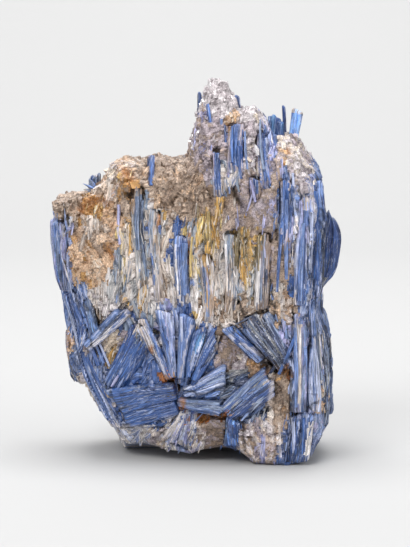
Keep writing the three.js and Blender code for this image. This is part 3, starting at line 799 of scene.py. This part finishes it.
class Patches:
    """Small blades, fibres and broken faces of quartz that the mass is made of."""

    def __init__(self, count):
        self.place, self.normal = scatter("quartz_matrix", count)
        self.mix = mixes_at(self.place, self.normal)
        self.ground = grounds_in(self.mix)
        self.fleck = grounds_in(self.mix)
        self.make = MAKE_OF[self.ground]
        self.thin_out()
        self.lay_along_growth()
        self.draw_shape()

    def thin_out(self):
        """Drops more than half of the blades, since they are larger than the faces of quartz."""
        keep = (self.make == MAKES["quartz"]) | (rng.random(len(self.make)) < 0.45)
        for key in ("place", "normal", "mix", "ground", "fleck", "make"):
            setattr(self, key, getattr(self, key)[keep])

    def lay_along_growth(self):
        """Turns blades along the growth, and faces of quartz up to about 45 degrees away from it."""
        count, quartz = len(self.make), self.make == MAKES["quartz"]
        flow = flows_at(self.place, self.normal)
        side = unit(np.cross(flow, self.normal))
        lean = rng.normal(0, 0.12, count) + quartz * rng.uniform(-1, 1, count)
        self.along = unit(flow + side * lean[:, None])
        self.side = unit(np.cross(self.along, self.normal))

    def draw_shape(self):
        """A size, two tones, a height and two tilts for each patch."""
        count, quartz = len(self.make), self.make == MAKES["quartz"]
        face = np.array([FACES.get(name, COMMON_FACE) for name in MIX_NAMES])[self.mix]
        self.wide = np.where(quartz, face[:, 0], 1.5) * rng.uniform(0.55, 1.45, count)
        self.long = np.where(quartz, face[:, 1], 10.0) * rng.uniform(0.6, 1.4, count)
        self.tone = rng.beta(2.5, 2.5, count)
        self.fleck_tone = rng.beta(2.5, 2.5, count)
        self.rise = rng.normal(0, 0.27, count)
        self.tilt = rng.normal(0, 0.25, count) * np.where(quartz, 0.7, 1.0)
        self.pitch = np.where(quartz, rng.normal(0, 0.18, count), rng.normal(0, 0.04, count))

    def owners(self, points, choices=16):
        """For each point the patch it lies in, and how near it is to that patch's border."""
        search = KDTree(len(self.place))
        for i, place in enumerate(self.place):
            search.insert(place, i)
        search.balance()
        near = np.array([[hit[1] for hit in search.find_n(point, choices)] for point in points])
        gap = points[:, None, :] - self.place[near]
        across = (gap * self.side[near]).sum(2)
        along = (gap * self.along[near]).sum(2)
        off = (gap**2).sum(2) - across**2 - along**2
        score = (across / self.wide[near]) ** 2 + (along / self.long[near]) ** 2 + off / 9
        order = np.argsort(score, axis=1)
        rows = np.arange(len(points))
        border = np.sqrt(score[rows, order[:, 1]]) - np.sqrt(score[rows, order[:, 0]])
        return near[rows, order[:, 0]], border

    def coordinates(self, points, owner):
        """Where points lie across and along their patch."""
        gap = points - self.place[owner]
        return (gap * self.side[owner]).sum(-1), (gap * self.along[owner]).sum(-1)


PATCHES = Patches(PATCH_COUNT)
PATCH_CLEFT = 0.12  # half width of the cleft around a patch, as a share of its size
COMMON_RISE = 0.9  # how far a stretch of the front or the back stands out, in mm
# The same for the mixes where it differs.
RISES = {"shade": -2.2, "rough_dark": -0.6, "rusty": -0.6, "smoky": 0.3, "bark": 0.0}
RISE_OF = np.array([RISES.get(name, COMMON_RISE) for name in MIX_NAMES])


def mass_heights(points, normals):
    """How far each point of the mass stands out: in flat steps where it is blades, lumpy where quartz."""
    owner, border = PATCHES.owners(points)
    across, along = PATCHES.coordinates(points, owner)
    quartz = PATCHES.make[owner] == MAKES["quartz"]
    smooth = np.isin(PATCHES.mix[owner], mix_numbers("smoky", "bark", "pocket"))
    lumps = lumps_at(points, 0.2)
    lean = np.clip(PATCHES.tilt[owner] * across + PATCHES.pitch[owner] * along, -0.8, 0.8)
    step = PATCHES.rise[owner] + lean
    height = np.where(quartz, lumps * 0.9 + step * 0.75, step + lumps * 0.3) * np.where(smooth, 0.35, 1.0)
    cleft = (PATCHES.tone[owner] < 0.5) * np.exp(-((border / PATCH_CLEFT) ** 2))
    height = height - 0.5 * cleft * np.where(smooth, 0.2, 1.0)
    height = height + RISE_OF[mixes_at(points, normals)] * np.abs(normals[:, 1])
    return height - 1.1 * near_lines(points, normals, CRACKS) + 0.5 * near_lines(points, normals, VEINS)


def mass_looks(points, normals, faces):
    """The looks of the mass, and the make of each of its faces."""
    middles, facing = points[faces].mean(1), normals[faces].mean(1)
    owner, border = PATCHES.owners(middles)
    across, along = PATCHES.coordinates(points[faces], owner[:, None])
    # painted shade: faces darken towards the clefts between patches
    painted_cleft_shade = 1 - 0.45 * np.exp(-((border / PATCH_CLEFT) ** 2))[:, None]
    tone = np.clip(PATCHES.tone[owner] + lumps_at(middles, 0.35) * 0.25, -0.1, 1.15)
    hue = stained(hue_of(PATCHES.ground[owner], tone) * painted_cleft_shade, middles, facing)
    fleck = stained(hue_of(PATCHES.fleck[owner], PATCHES.fleck_tone[owner]) * painted_cleft_shade, middles, facing)
    layer = (owner % LAYERS)[:, None] * np.ones(4)
    return face_looks(hue, fleck, np.stack([across, along, layer], 2)), PATCHES.make[owner]


def quartz_mass():
    """The mass of quartz, with its flat base left flat."""
    points, normals, faces = remeshed("quartz_matrix", MASS_GRID)
    free = np.clip((points[:, 2] - BASE) / 2.0, 0, 1)
    placed = points + normals * (mass_heights(points, normals) * free)[:, None]
    placed[points[:, 2] < BASE, 2] = 0
    looks, kinds = mass_looks(points, normals, faces)
    piece = mesh_object("quartz_mass", weathered(placed), faces, looks, MATERIALS, kinds)
    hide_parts("quartz_matrix")


# ---- The large blade groups ----------------------------------------------------------------------

SLOT_MIX = {
    "deep_kyanite": {"deep": 0.5, "blue": 0.4, "night": 0.1},
    "blue_kyanite": {"blue": 0.5, "bright": 0.1, "deep": 0.25, "steel": 0.15},
    "pale_kyanite": {"pale": 0.5, "lilac": 0.15, "blue": 0.25, "steel": 0.1},
    "grey_kyanite": {"steel": 0.45, "grey": 0.25, "night": 0.2, "blue": 0.1},
}
# The groups whose colours aren't those of their slot. Here and below a group goes by how its name starts.
OWN_MIX = {
    "tip_slab": {"bright": 1.0},
    "tower_needle": {"deep": 1.0},
    "shoulder_blade": {"deep": 1.0},
    "left_tuft": {"steel": 0.6, "blue": 0.25, "deep": 0.15},
    "back_flake": {"deep": 1.0},
    "ragged": {"deep": 0.45, "night": 0.35, "steel": 0.2},
    "dark_sheaf": {"night": 0.5, "steel": 0.35, "grey": 0.15},
    "folded": {"deep": 0.8, "blue": 0.2},
    "upper_plate": {"deep": 0.5, "night": 0.5},
    "lower_plate": {"deep": 0.5, "night": 0.5},
    "crossing_blade": {"deep": 0.35, "blue": 0.4, "pale": 0.25},
    "tower_blade": {"blue": 0.5, "deep": 0.5},
    "tower_sheaf": {"blue": 0.2, "deep": 0.8},
    "tower_bundle": {"teal": 0.3, "deep": 0.7},
    "fan_leaf": {"deep": 0.3, "blue": 0.35, "teal": 0.35},
    "inner_left": {"deep": 0.85, "blue": 0.15},
    "long_left": {"blue": 0.5, "deep": 0.35, "pale": 0.15},
    "foot_fan": {"lilac": 0.3, "white": 0.3, "pale": 0.25, "blue": 0.15},
    "pale_leaf": {"pale": 0.9, "blue": 0.1},
    "fan_blade": {"blue": 0.45, "deep": 0.15, "pale": 0.3, "steel": 0.1},
    "right_column": {"blue": 0.24, "lilac": 0.1, "pale": 0.2, "steel": 0.1, "beige": 0.12, "white": 0.24},
    "right_foot": {"blue": 0.2, "deep": 0.5, "night": 0.1, "white": 0.05, "steel": 0.15},
    "outer_edge": {"steel": 0.2, "night": 0.45, "white": 0.25, "beige": 0.1},
    "middle_sheaf_1": {"steel": 0.4, "night": 0.25, "grey": 0.35},
    "middle_sheaf_3": {"blue": 0.45, "deep": 0.25, "pale": 0.2, "beige": 0.1},
}
# Groups that narrow to both ends as a leaf does, and by what share.
LEAVES = {
    "back_flake": 0.7, "pale_leaf": 0.6, "fan_leaf": 0.5, "left_bulge": 0.5, "left_edge": 0.3,
    "outer_edge": 0.4,
}
# Groups narrower than their seat, and by what share.
SLIM = {"tower_needle": 0.5, "left_tuft": 0.5, "tip_slab": 0.15, "tower_blade_1": 0.5, "tower_blade_2": 0.3}
# Groups whose blade at one edge is of another ground, as a pale ridge is.
RIDGES = {"crossing_blade": "white", "long_left": "pale", "right_foot": "white", "middle_sheaf_3": "white"}
# How much of a group isn't coloured like its surroundings, where it isn't three quarters.
OWN_SHARE = {
    "left_bulge": 0.4, "outer_edge": 0.4, "dark_sheaf": 0.9, "upper_plate": 0.95, "lower_plate": 0.95,
    "tip": 1.0, "tower_sheaf": 0.85, "tower": 1.0, "shoulder": 1.0, "left_tuft": 1.0, "back_flake": 1.0,
    "middle_sheaf_3": 0.75, "middle_sheaf_1": 0.6, "middle": 0.25, "right_tall": 0.4, "foot_fan": 0.9,
    "long_left": 1.0, "crossing": 1.0,
}
# Groups of broad flat plates.
PLATES = (
    "upper_plate", "lower_plate", "right_fan_plate", "fan_leaf", "fan_blade", "pale_leaf", "crossing_blade",
    "sweeping", "ragged", "short_slab", "folded",
)


# Groups of few, wide blades.
BROAD = ("upper_plate", "lower_plate", "inner_left")
# Groups that stand out of the quartz, and those of them that sink into it at the root.
FREE = ("tip", "tower", "left_tuft", "shoulder", "crossing")
ROOTED = ("tower_sheaf", "tower_bundle", "shoulder")
# Groups where a blade is of its own ground all along or nowhere.
WHOLE = ("tower", "middle", "long_left", "crossing")
# Groups of one blade.
LONE = ("tip_slab", "tower_needle", "back_flake")


def some_grounds(shares, count):
    """Random grounds by their shares."""
    weights = np.array(list(shares.values()))
    chosen = rng.choice(len(weights), count, p=weights / weights.sum())
    return np.array([GROUND_NAMES.index(name) for name in shares])[chosen]


def first_match(table, name, otherwise):
    """The table's value for the first key that the name starts with."""
    return next((value for start, value in table.items() if name.startswith(start)), otherwise)


class BladeFan:
    """The blades that fill one seat, fanned from its root to its tip, each with its own height and ends."""

    def __init__(self, seat):
        self.seat = seat
        self.plate = seat.name.startswith(PLATES)
        self.broad = seat.name.startswith(BROAD)
        self.free = seat.name.startswith(FREE)
        self.sheaf = seat.name.startswith("tower_sheaf")
        self.out, self.side, self.axis = (np.array(v) for v in (seat.out, seat.side, seat.along))
        self.wide = sum(seat.wide) / 2
        blade_wide = 4.5 if self.broad else 2.8 if self.plate else 1.4
        self.count = 1 if seat.name in LONE else max(1, round(max(seat.wide) / blade_wide))
        self.draw_shape()
        self.draw_colours()

    def draw_shape(self):
        """Random borders, heights, tilts and ends for the blades."""
        count, long = self.count, self.seat.long
        self.cuts = (np.arange(1, count) + rng.uniform(-0.35, 0.35, count - 1)) / count
        self.edges = np.concatenate([[0], self.cuts, [1]])
        self.rise = rng.normal(0, 0.12 if self.plate else 0.24, count)
        self.tilt = rng.normal(0, 0.06 if self.plate else 0.15, count)
        if self.free and count > 1:
            self.short = rng.uniform(0, 0.2, count)
        else:
            self.short = rng.uniform(0, 0.8, count) / long
        self.broken_at = rng.uniform(0.3, 1.3, count)
        self.drop = rng.uniform(0.1, 0.5, count)
        self.buried = rng.uniform(0.8, 4.5, (2, count)) / long  # at the tip, and at the root
        if self.seat.name.startswith(ROOTED):
            self.buried[0] = -1
        elif self.free or self.plate:
            self.buried[:] = -1
        self.slant = rng.uniform(-0.5, 0.5)
        self.layer = rng.uniform(0, 100)

    def draw_colours(self):
        """Each blade's own two grounds, and for each of its stretches four chances and two tones."""
        name = self.seat.name
        shares = first_match(OWN_MIX, name, SLOT_MIX[SLOTS[name]])
        self.own, self.own_fleck = some_grounds(shares, self.count), some_grounds(shares, self.count)
        ridge = first_match(RIDGES, name, None)
        if ridge:
            self.own[0 if self.side[2] > 0 else -1] = GROUND_NAMES.index(ridge)
        self.own_share = first_match(OWN_SHARE, name, 0.75)
        self.chances = rng.random((4, self.count, STRETCHES))
        self.tones = rng.beta(2.5, 2.5, (2, self.count, STRETCHES))

    def places(self, points):
        """How far across and along the group each point is, both from 0 to 1, and its blade."""
        gap = points - np.array(self.seat.root)
        along = gap @ self.axis / self.seat.long
        wide = self.seat.wide[0] + (self.seat.wide[1] - self.seat.wide[0]) * np.clip(along, 0, 1)
        across = gap @ self.side / np.maximum(wide, 0.5) + 0.5
        wavy = across + 0.015 * np.sin(along * 5 + self.layer)
        wavy += 0.2 * (gap @ self.out) / np.maximum(wide, 1.5)
        return across, along, np.searchsorted(self.cuts, wavy)

    def drawn_out(self, across, along, fine, coarse):
        """Noise at places across in mm and along as a share: so many steps per mm across and along."""
        grid = zip(across, along)
        places = (Vector((a * fine, b * self.seat.long * coarse, self.layer)) for a, b in grid)
        return np.array([noise.noise(place) for place in places])

    def clefts(self, across, blade):
        """1 at the borders of a blade, 0 away from them."""
        nearest = np.minimum(across - self.edges[blade], self.edges[blade + 1] - across) * self.wide
        return np.exp(-((nearest / 0.25) ** 2))

    def heights(self, points, across, along, blade):
        """How far each point stands out."""
        local = (across - (self.edges[blade] + self.edges[blade + 1]) / 2) * self.wide
        striae = self.drawn_out((across - 0.5) * self.wide, along, 1.1, 0.04)
        cleft = self.clefts(across, blade) * (0.08 if self.broad else 0.15)
        height = self.rise[blade] + self.tilt[blade] * local + striae * 0.45 - cleft
        height = height - self.drop[blade] * (along > self.broken_at[blade])
        height = height + lumps_at(points, 0.2, 3) * 0.3
        height = height - 0.4 * self.sheaf + (0 if self.free else 0.3)
        past = np.maximum(along - 1 + self.buried[0, blade], self.buried[1, blade] - along)
        height = height - 1.2 * np.clip(past * self.seat.long / 2, 0, 1)
        return height - 0.8 * near_lines(points, np.tile(self.out, (len(points), 1)), CRACKS)

    def shaped(self, points, normals):
        """The points of the seat's solid, moved to the surfaces and the ends of the blades."""
        seat = self.seat
        across, along, blade = self.places(points)
        outward = np.clip((points - np.array(seat.root)) @ self.out / seat.thick + 0.6, 0, 1)
        rise = self.heights(points, across, along, blade) * outward
        stop = 1 - self.short[blade] + self.slant * (across - 0.5) * min(0.25, self.wide / seat.long)
        back = np.clip(along - stop, 0, None) * seat.long * 0.9
        # A group that doesn't end in the air is drawn out 0.8 mm at both ends, into its neighbours.
        reach = 0 if self.free else 8 * (np.clip(along - 0.9, 0, 0.1) - np.clip(0.1 - along, 0, 0.1))
        narrowing = first_match(LEAVES, seat.name, 0) * np.abs(2 * along - 1) ** 3 + SLIM.get(seat.name, 0)
        waist = (across - 0.5) * self.wide * narrowing
        moved = points + normals * 0.4 + self.out * rise[:, None] + self.axis * (reach - back)[:, None]
        return weathered(moved - self.side * waist[:, None])

    def own_reach(self, across, along, blade):
        """How far each face follows its blade's own ground: less near the ends, not at all in quartz."""
        if self.seat.name.startswith(WHOLE):
            likely = np.ones(len(along))
        else:
            likely = np.clip(np.minimum(along, 1 - along) / 0.12, 0.3, 1)
        if self.sheaf:
            likely = likely * (np.abs(across - 0.5) < 0.3)
        return likely * (along < 1 - self.buried[0, blade]) * (along > self.buried[1, blade])

    def colours(self, middles):
        """The two colours of each face, by its stretch of its blade, and its blade."""
        across, along, blade = self.places(middles)
        facing = np.tile(self.out, (len(middles), 1))
        fray = self.drawn_out(across * self.wide, along, 1.6, 0.06)
        zone = mixes_at(middles + self.axis * (fray * 7)[:, None], facing)
        stretch = (along * self.seat.long / 14 + blade * 1.7 + 2 + fray * 1.8).astype(int) % STRETCHES
        chances = self.chances[:, blade, stretch]
        longer = self.chances[2, blade, 0 if self.seat.name.startswith(WHOLE) else stretch // 2]
        own = longer < self.own_share * self.own_reach(across, along, blade)
        ground = np.where(own, self.own[blade], ground_at(zone, chances[0]))
        own_fleck = chances[3] < self.own_share
        fleck_ground = np.where(own_fleck, self.own_fleck[blade], ground_at(zone, chances[1]))
        # painted shade: faces darken towards the clefts between blades
        painted_cleft_shade = (1 - (0.15 if self.broad else 0.3) * self.clefts(across, blade))[:, None]
        tone = np.clip(self.tones[0, blade, stretch] + 0.35 * lumps_at(middles, 0.16, 2), -0.1, 1.1)
        hue = stained(hue_of(ground, tone) * painted_cleft_shade, middles, facing)
        fleck = stained(hue_of(fleck_ground, self.tones[1, blade, stretch]) * painted_cleft_shade, middles, facing)
        return hue, fleck, blade

    def grain(self, corners, blade):
        """Each corner's place across and along in mm, and its blade's slice of the pattern."""
        across, along, _ = self.places(corners)
        layer = np.repeat(blade % LAYERS, 4) + self.layer
        grain = [across * self.wide + corners @ self.out * 0.8, along * self.seat.long, layer]
        return np.stack(grain, 1).reshape(-1, 4, 3)


def blade_group(seat):
    """The group of blades that fills a seat."""
    points, normals, faces = remeshed(seat.name, GROUP_GRID)
    fan = BladeFan(seat)
    hue, fleck, blade = fan.colours(points[faces].mean(1))
    looks = face_looks(hue, fleck, fan.grain(points[faces].reshape(-1, 3), blade))
    placed = fan.shaped(points, normals)
    piece = mesh_object(seat.name + "_blades", placed, faces, looks, [KYANITE])
    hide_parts(seat.name)


# ---- Loose splinters -----------------------------------------------------------------------------

SECTION = ((-1, -0.5), (1, -0.5), (0.7, 0.5), (-0.7, 0.5))  # half widths and thicknesses
TAPER = (0.55, 1.0, 0.12)  # width of a splinter at its root, belly and tip
BLUNT = (0.85, 1.0, 0.8)  # the same for a single blade
OFF_EDGE = 0.9  # how far from the solids a splinter may reach, in mm
IN_FRONT = -60  # a y clear of the whole piece


def prism_faces(count):
    """The quads of so many closed prisms of three rings each."""
    quads = []
    for ring in range(2):
        for k in range(4):
            a, b = ring * 4 + k, ring * 4 + (k + 1) % 4
            quads.append((a, b, b + 4, a + 4))
    quads += [(3, 2, 1, 0), (8, 9, 10, 11)]
    first = np.arange(count) * len(SECTION) * len(TAPER)
    return (np.array(quads)[None] + first[:, None, None]).reshape(-1, 4)


def splinter_mesh(root, tip, out, wide, thick, lean, taper=TAPER):
    """Tapering splinters as closed prisms: corners, quads, and each corner's place in its own grain."""
    along = tip - root
    long = np.linalg.norm(along, axis=1, keepdims=True)
    along = along / long
    side = unit(np.cross(along, out))
    up = np.cross(side, along)
    rings, grains = [], []
    for t, share in zip((0.0, 0.5, 1.0), taper):
        for across, height in SECTION:
            place = root + along * long * t + side * (wide * share * across / 2 + lean * (t - 0.5))[:, None]
            rings.append(place + up * (thick * share * height)[:, None])
            grains.append(np.stack([wide * share * across / 2, long[:, 0] * t, wide * 50], 1))
    return np.stack(rings, 1).reshape(-1, 3), prism_faces(len(root)), np.stack(grains, 1).reshape(-1, 3)


def splinter_looks(hue, fleck, grains, faces):
    """Looks of splinters where each one is of one colour."""
    corners = len(SECTION) * len(TAPER)
    hue, fleck = (np.repeat(colours, corners, axis=0)[faces] for colours in (hue, fleck))
    return {"hue": hue, "fleck": fleck, "grain": grains[faces]}


# Groups that are too clean for loose splinters.
CLEAN = (
    "tip", "tower", "long_left", "crossing", "back_flake", "left_tuft", "folded", "pale_leaf", "fan_leaf",
)


def grown_in(points):
    """Which points lie on or in the piece, and not in the air beside it."""
    found = [WHOLE_TREE.find_nearest(Vector(point))[3] for point in points]
    return np.array(found) < OFF_EDGE


def splinters(name, slot, material, place, normal, ground, flow):
    """One mesh of splinters that lie almost flat on the surface."""
    count = len(place)
    side = unit(np.cross(flow, normal))
    along = unit(flow + side * rng.normal(0, 0.12, count)[:, None])
    long = rng.gamma(3.0, 1.3, count) + 1.8
    wide = rng.gamma(4.0, 0.14, count) + 0.2
    thick = rng.uniform(0.35, 0.7, count)
    root = place - along * (long / 2)[:, None] - normal * (0.1 + thick * 0.3)[:, None]
    tip = place + along * (long / 2)[:, None] + normal * rng.uniform(-0.3, 0.3, count)[:, None]
    out = unit(normal + side * rng.normal(0, 0.28, count)[:, None])
    kept = grown_in(tip) & grown_in(root)
    root, tip, out, wide, thick, ground = (row[kept] for row in (root, tip, out, wide, thick, ground))
    count = len(root)
    points, faces, grains = splinter_mesh(root, tip, out, wide, thick, rng.normal(0, 0.25, count))
    hue = hue_of(ground, rng.beta(1.5, 1.8, count))
    looks = splinter_looks(hue, hue * 0.8 + 0.1, grains, faces)
    mesh_object(name, weathered(points), faces, looks, [material])


def all_splinters():
    """Splinters over the mass and over the blade groups, the blue ones apart from the stained ones."""
    spots = [scatter("quartz_matrix", SPLINTER_COUNT)]
    for seat in SEAT_LIST:
        if seat.name.startswith(CLEAN):
            continue
        place, normal = scatter(seat.name, max(6, round(seat.long * sum(seat.wide) / 4)))
        outer = normal @ np.array(seat.out) > 0.5
        spots.append((place[outer], normal[outer]))
    place, normal = (np.vstack([spot[k] for spot in spots]) for k in (0, 1))
    place = place + normal * 0.4
    ground = grounds_in(mixes_at(place, normal))
    rows = (place, normal, ground, flows_at(place, normal))
    blue, fibrous = (MAKE_OF[ground] == MAKES[make] for make in ("kyanite", "fibre"))
    splinters("blue_splinters", "blue_kyanite", KYANITE, *(row[blue] for row in rows))
    splinters("stained_splinters", "grey_kyanite", FIBRE, *(row[fibrous] for row in rows))


def on_front(x, z):
    """The point of the front at x and z."""
    return np.array(WHOLE_TREE.ray_cast(Vector((x, IN_FRONT, z)), Vector((0, 1, 0)))[0])


def single_blades():
    """The blades that stand out one by one on the front."""
    root = np.array([on_front(row[0], row[1]) for row in SINGLES])
    tip = np.array([on_front(row[2], row[3]) for row in SINGLES])
    wide = np.array([row[4] for row in SINGLES])
    ground = np.array([GROUND_NAMES.index(row[5]) for row in SINGLES])
    count = len(SINGLES)
    out = np.tile([0.0, -1.0, 0.0], (count, 1)) + rng.normal(0, 0.15, (count, 3))
    along = unit(tip - root)
    out = unit(out - along * (out * along).sum(1, keepdims=True))
    root, tip = root + out * 0.5, tip + out * 1.1
    points, faces, grains = splinter_mesh(root, tip, out, wide, wide * 0.6 + 0.8, 0 * wide, BLUNT)
    hue = hue_of(ground, rng.uniform(0.1, 0.8, count))
    fleck = hue_of(ground, rng.uniform(0.3, 1.0, count))
    looks = splinter_looks(hue, fleck, grains, faces)
    mesh_object("single_blades", weathered(points), faces, looks, [KYANITE])


def tuft():
    """Small blades that radiate from one spot on the left shoulder."""
    count = TUFT_COUNT
    turn = np.radians(rng.uniform(118, 208, count))
    way = np.stack([np.cos(turn), rng.uniform(-0.5, 0.3, count), np.sin(turn)], 1)
    root = np.array(SEATS["left_tuft"].root) + np.array([1.4, -2.0, 4.0]) + rng.normal(0, 0.4, (count, 3))
    tip = root + unit(way) * rng.uniform(3.2, 6.4, (count, 1))
    out = unit(np.array([0.0, -1.0, 0.0]) + rng.normal(0, 0.4, (count, 3)))
    wide = rng.uniform(0.7, 1.3, count)
    points, faces, grains = splinter_mesh(root, tip, out, wide, np.full(count, 0.6), np.zeros(count))
    ground = some_grounds({"deep": 0.2, "blue": 0.25, "steel": 0.55}, count)
    hue = hue_of(ground, rng.uniform(0.4, 1.2, count))
    looks = splinter_looks(hue, hue * 0.8 + 0.08, grains, faces)
    mesh_object("left_tuft_needles", weathered(points), faces, looks, [KYANITE])


# ---- Broken quartz grains ------------------------------------------------------------------------

CUBE = np.array([(x, y, z) for x in (-1, 1) for y in (-1, 1) for z in (-1, 1)], float)
CUBE_FACES = np.array([(0, 1, 3, 2), (4, 6, 7, 5), (0, 4, 5, 1), (2, 3, 7, 6), (0, 2, 6, 4), (1, 5, 7, 3)])


def chips(name, places, sizes, hues, material):
    """Angular grains: little blocks with their corners knocked about."""
    count = len(places)
    corners = CUBE[None] * (1 + rng.uniform(-0.5, 0.35, (count, 8, 3)))
    corners = corners * (sizes[:, None, None] * rng.uniform(0.4, 1.0, (count, 1, 3)))
    turns = np.linalg.qr(rng.normal(size=(count, 3, 3)))[0]
    turns[:, :, 0] *= np.sign(np.linalg.det(turns))[:, None]
    corners = corners @ turns.transpose(0, 2, 1)
    points = (places[:, None] + corners).reshape(-1, 3)
    faces = (CUBE_FACES[None] + (np.arange(count) * 8)[:, None, None]).reshape(-1, 4)
    hue = np.repeat(hues, 8, axis=0)[faces]
    grain = np.repeat(rng.random((count, 3)) * 10, 8, axis=0)[faces]
    looks = {"hue": hue, "fleck": hue * 0.8 + 0.08, "grain": grain}
    mesh_object(name, points, faces, looks, [material])


def quartz_grains():
    """Grains over the stretches of broken quartz, and clear ones over the crown of the tower."""
    place, normal = scatter("quartz_matrix", GRAIN_COUNT)
    mix = mixes_at(place, normal)
    ground = grounds_in(mix)
    clear = np.isin(mix, mix_numbers("cap", "tower"))
    milky = (MAKE_OF[ground] == MAKES["quartz"]) & (mix != MIX_NAMES.index("smoky")) & ~clear
    placed = weathered(place + normal * rng.uniform(-0.3, 0.6, len(place))[:, None])
    for name, chosen, material in (("quartz_grains", milky, QUARTZ), ("clear_grains", clear, CLEAR)):
        sizes = rng.gamma(2.5, 0.15, chosen.sum()) + 0.12
        hues = hue_of(ground[chosen], rng.random(chosen.sum()) * 1.1)
        chips(name, placed[chosen], sizes, hues, material)


CRYSTAL_SHARE = {"cap": 1.0, "tower": 0.75, "milky": 0.3, "creamy": 0.2}
CRYSTALS_ABOVE = 88  # the height in mm that the small crystals start at


def crystals():
    """Small upright quartz crystals on the tower and along the upper rim."""
    place, normal = scatter("quartz_matrix", CRYSTAL_COUNT)
    mix = mixes_at(place, normal)
    chance = np.array([CRYSTAL_SHARE.get(name, 0.0) for name in MIX_NAMES])[mix]
    chosen = (rng.random(len(place)) < chance) & (place[:, 2] > CRYSTALS_ABOVE)
    place, normal, ground = place[chosen], normal[chosen], grounds_in(mix[chosen])
    count = len(place)
    along = unit(np.array([0, 0, 1.0]) + rng.normal(0, 0.25, (count, 3)) + normal * 0.25)
    long = rng.uniform(2.0, 5.5, count)
    wide = rng.uniform(0.7, 1.9, count)
    root = place - along * (long * 0.6)[:, None]
    tip = place + along * (long * 0.4)[:, None]
    out = unit(normal + rng.normal(0, 0.3, (count, 3)))
    points, faces, grains = splinter_mesh(root, tip, out, wide, wide * 0.9, rng.normal(0, 0.1, count))
    hue = hue_of(ground, rng.uniform(0.4, 1.1, count))
    looks = splinter_looks(hue, hue * 0.8 + 0.15, grains, faces)
    mesh_object("quartz_crystals", weathered(points), faces, looks, [CLEAR])


# ---- Building ------------------------------------------------------------------------------------

quartz_mass()
for seat in SEAT_LIST:
    blade_group(seat)
all_splinters()
single_blades()
tuft()
quartz_grains()
crystals()

# ---- Studio --------------------------------------------------------------------------------------

# Everything here is in metres.
SPAN = 0.1823  # height of the view at the piece
DISTANCE = 0.9  # from the camera to the middle of the piece
ELEVATION = math.radians(7)
AIM = Vector((0.0028, 0, 0.0605))
SENSOR = 36  # height of the film, in millimetres as for every lens


def sweep():
    """A pale paper sweep: floor, curve and back wall in one."""
    half, front, back, height, radius = 1.6, -1.6, 1.1, 1.8, 0.5
    profile = [(front, 0.0), (back - radius, 0.0)]
    for k in range(1, 13):
        turn = math.pi / 2 * k / 12
        profile.append((back - radius + radius * math.sin(turn), radius - radius * math.cos(turn)))
    profile.append((back, height))
    points = [(x, y, z) for y, z in profile for x in (-half, half)]
    faces = [(2 * i, 2 * i + 1, 2 * i + 3, 2 * i + 2) for i in range(len(profile) - 1)]
    mesh = bpy.data.meshes.new("paper_sweep")
    mesh.from_pydata(points, [], faces)
    for polygon in mesh.polygons:
        polygon.use_smooth = True
    mesh.materials.append(paper_material())
    paper = bpy.data.objects.new("paper_sweep", mesh)
    bpy.context.scene.collection.objects.link(paper)


def soft_light(name, place, size, power, target=(0, 0, 0.06)):
    """A square soft box, aimed at a point."""
    lamp = bpy.data.lights.new(name, "AREA")
    lamp.shape = "SQUARE"
    lamp.size = size
    lamp.energy = power
    holder = bpy.data.objects.new(name, lamp)
    holder.location = place
    holder.rotation_euler = (Vector(target) - Vector(place)).to_track_quat("-Z", "Y").to_euler()
    bpy.context.scene.collection.objects.link(holder)


def room_light():
    """Even white light from all around."""
    world = bpy.data.worlds.new("studio")
    world.use_nodes = True
    background = world.node_tree.nodes["Background"]
    background.inputs["Color"].default_value = (1, 1, 1, 1)
    background.inputs["Strength"].default_value = 0.4
    bpy.context.scene.world = world


def camera():
    """A long lens that looks a little down at the front."""
    lens = bpy.data.cameras.new("camera")
    lens.sensor_fit = "VERTICAL"
    lens.sensor_height = SENSOR
    lens.lens = SENSOR * DISTANCE / SPAN
    lens.clip_end = 10
    holder = bpy.data.objects.new("camera", lens)
    holder.location = AIM + Vector((0, -math.cos(ELEVATION), math.sin(ELEVATION))) * DISTANCE
    holder.rotation_euler = (AIM - holder.location).to_track_quat("-Z", "Y").to_euler()
    bpy.context.scene.collection.objects.link(holder)
    bpy.context.scene.camera = holder


def studio():
    """Paper, five soft boxes and a camera."""
    sweep()
    soft_light("key", (-0.4, -0.75, 0.8), 0.5, 6.6)
    soft_light("fill", (0.75, -0.6, 0.5), 0.7, 3.4)
    soft_light("low", (-0.1, -0.9, 0.12), 0.6, 1.1)
    soft_light("top", (0.0, 0.05, 1.1), 0.8, 7.0)
    soft_light("backdrop", (0.0, 0.35, 1.3), 0.9, 15.9, target=(0, 1.1, 0.4))
    room_light()
    bpy.context.scene.view_settings.view_transform = "Standard"
    camera()


studio()
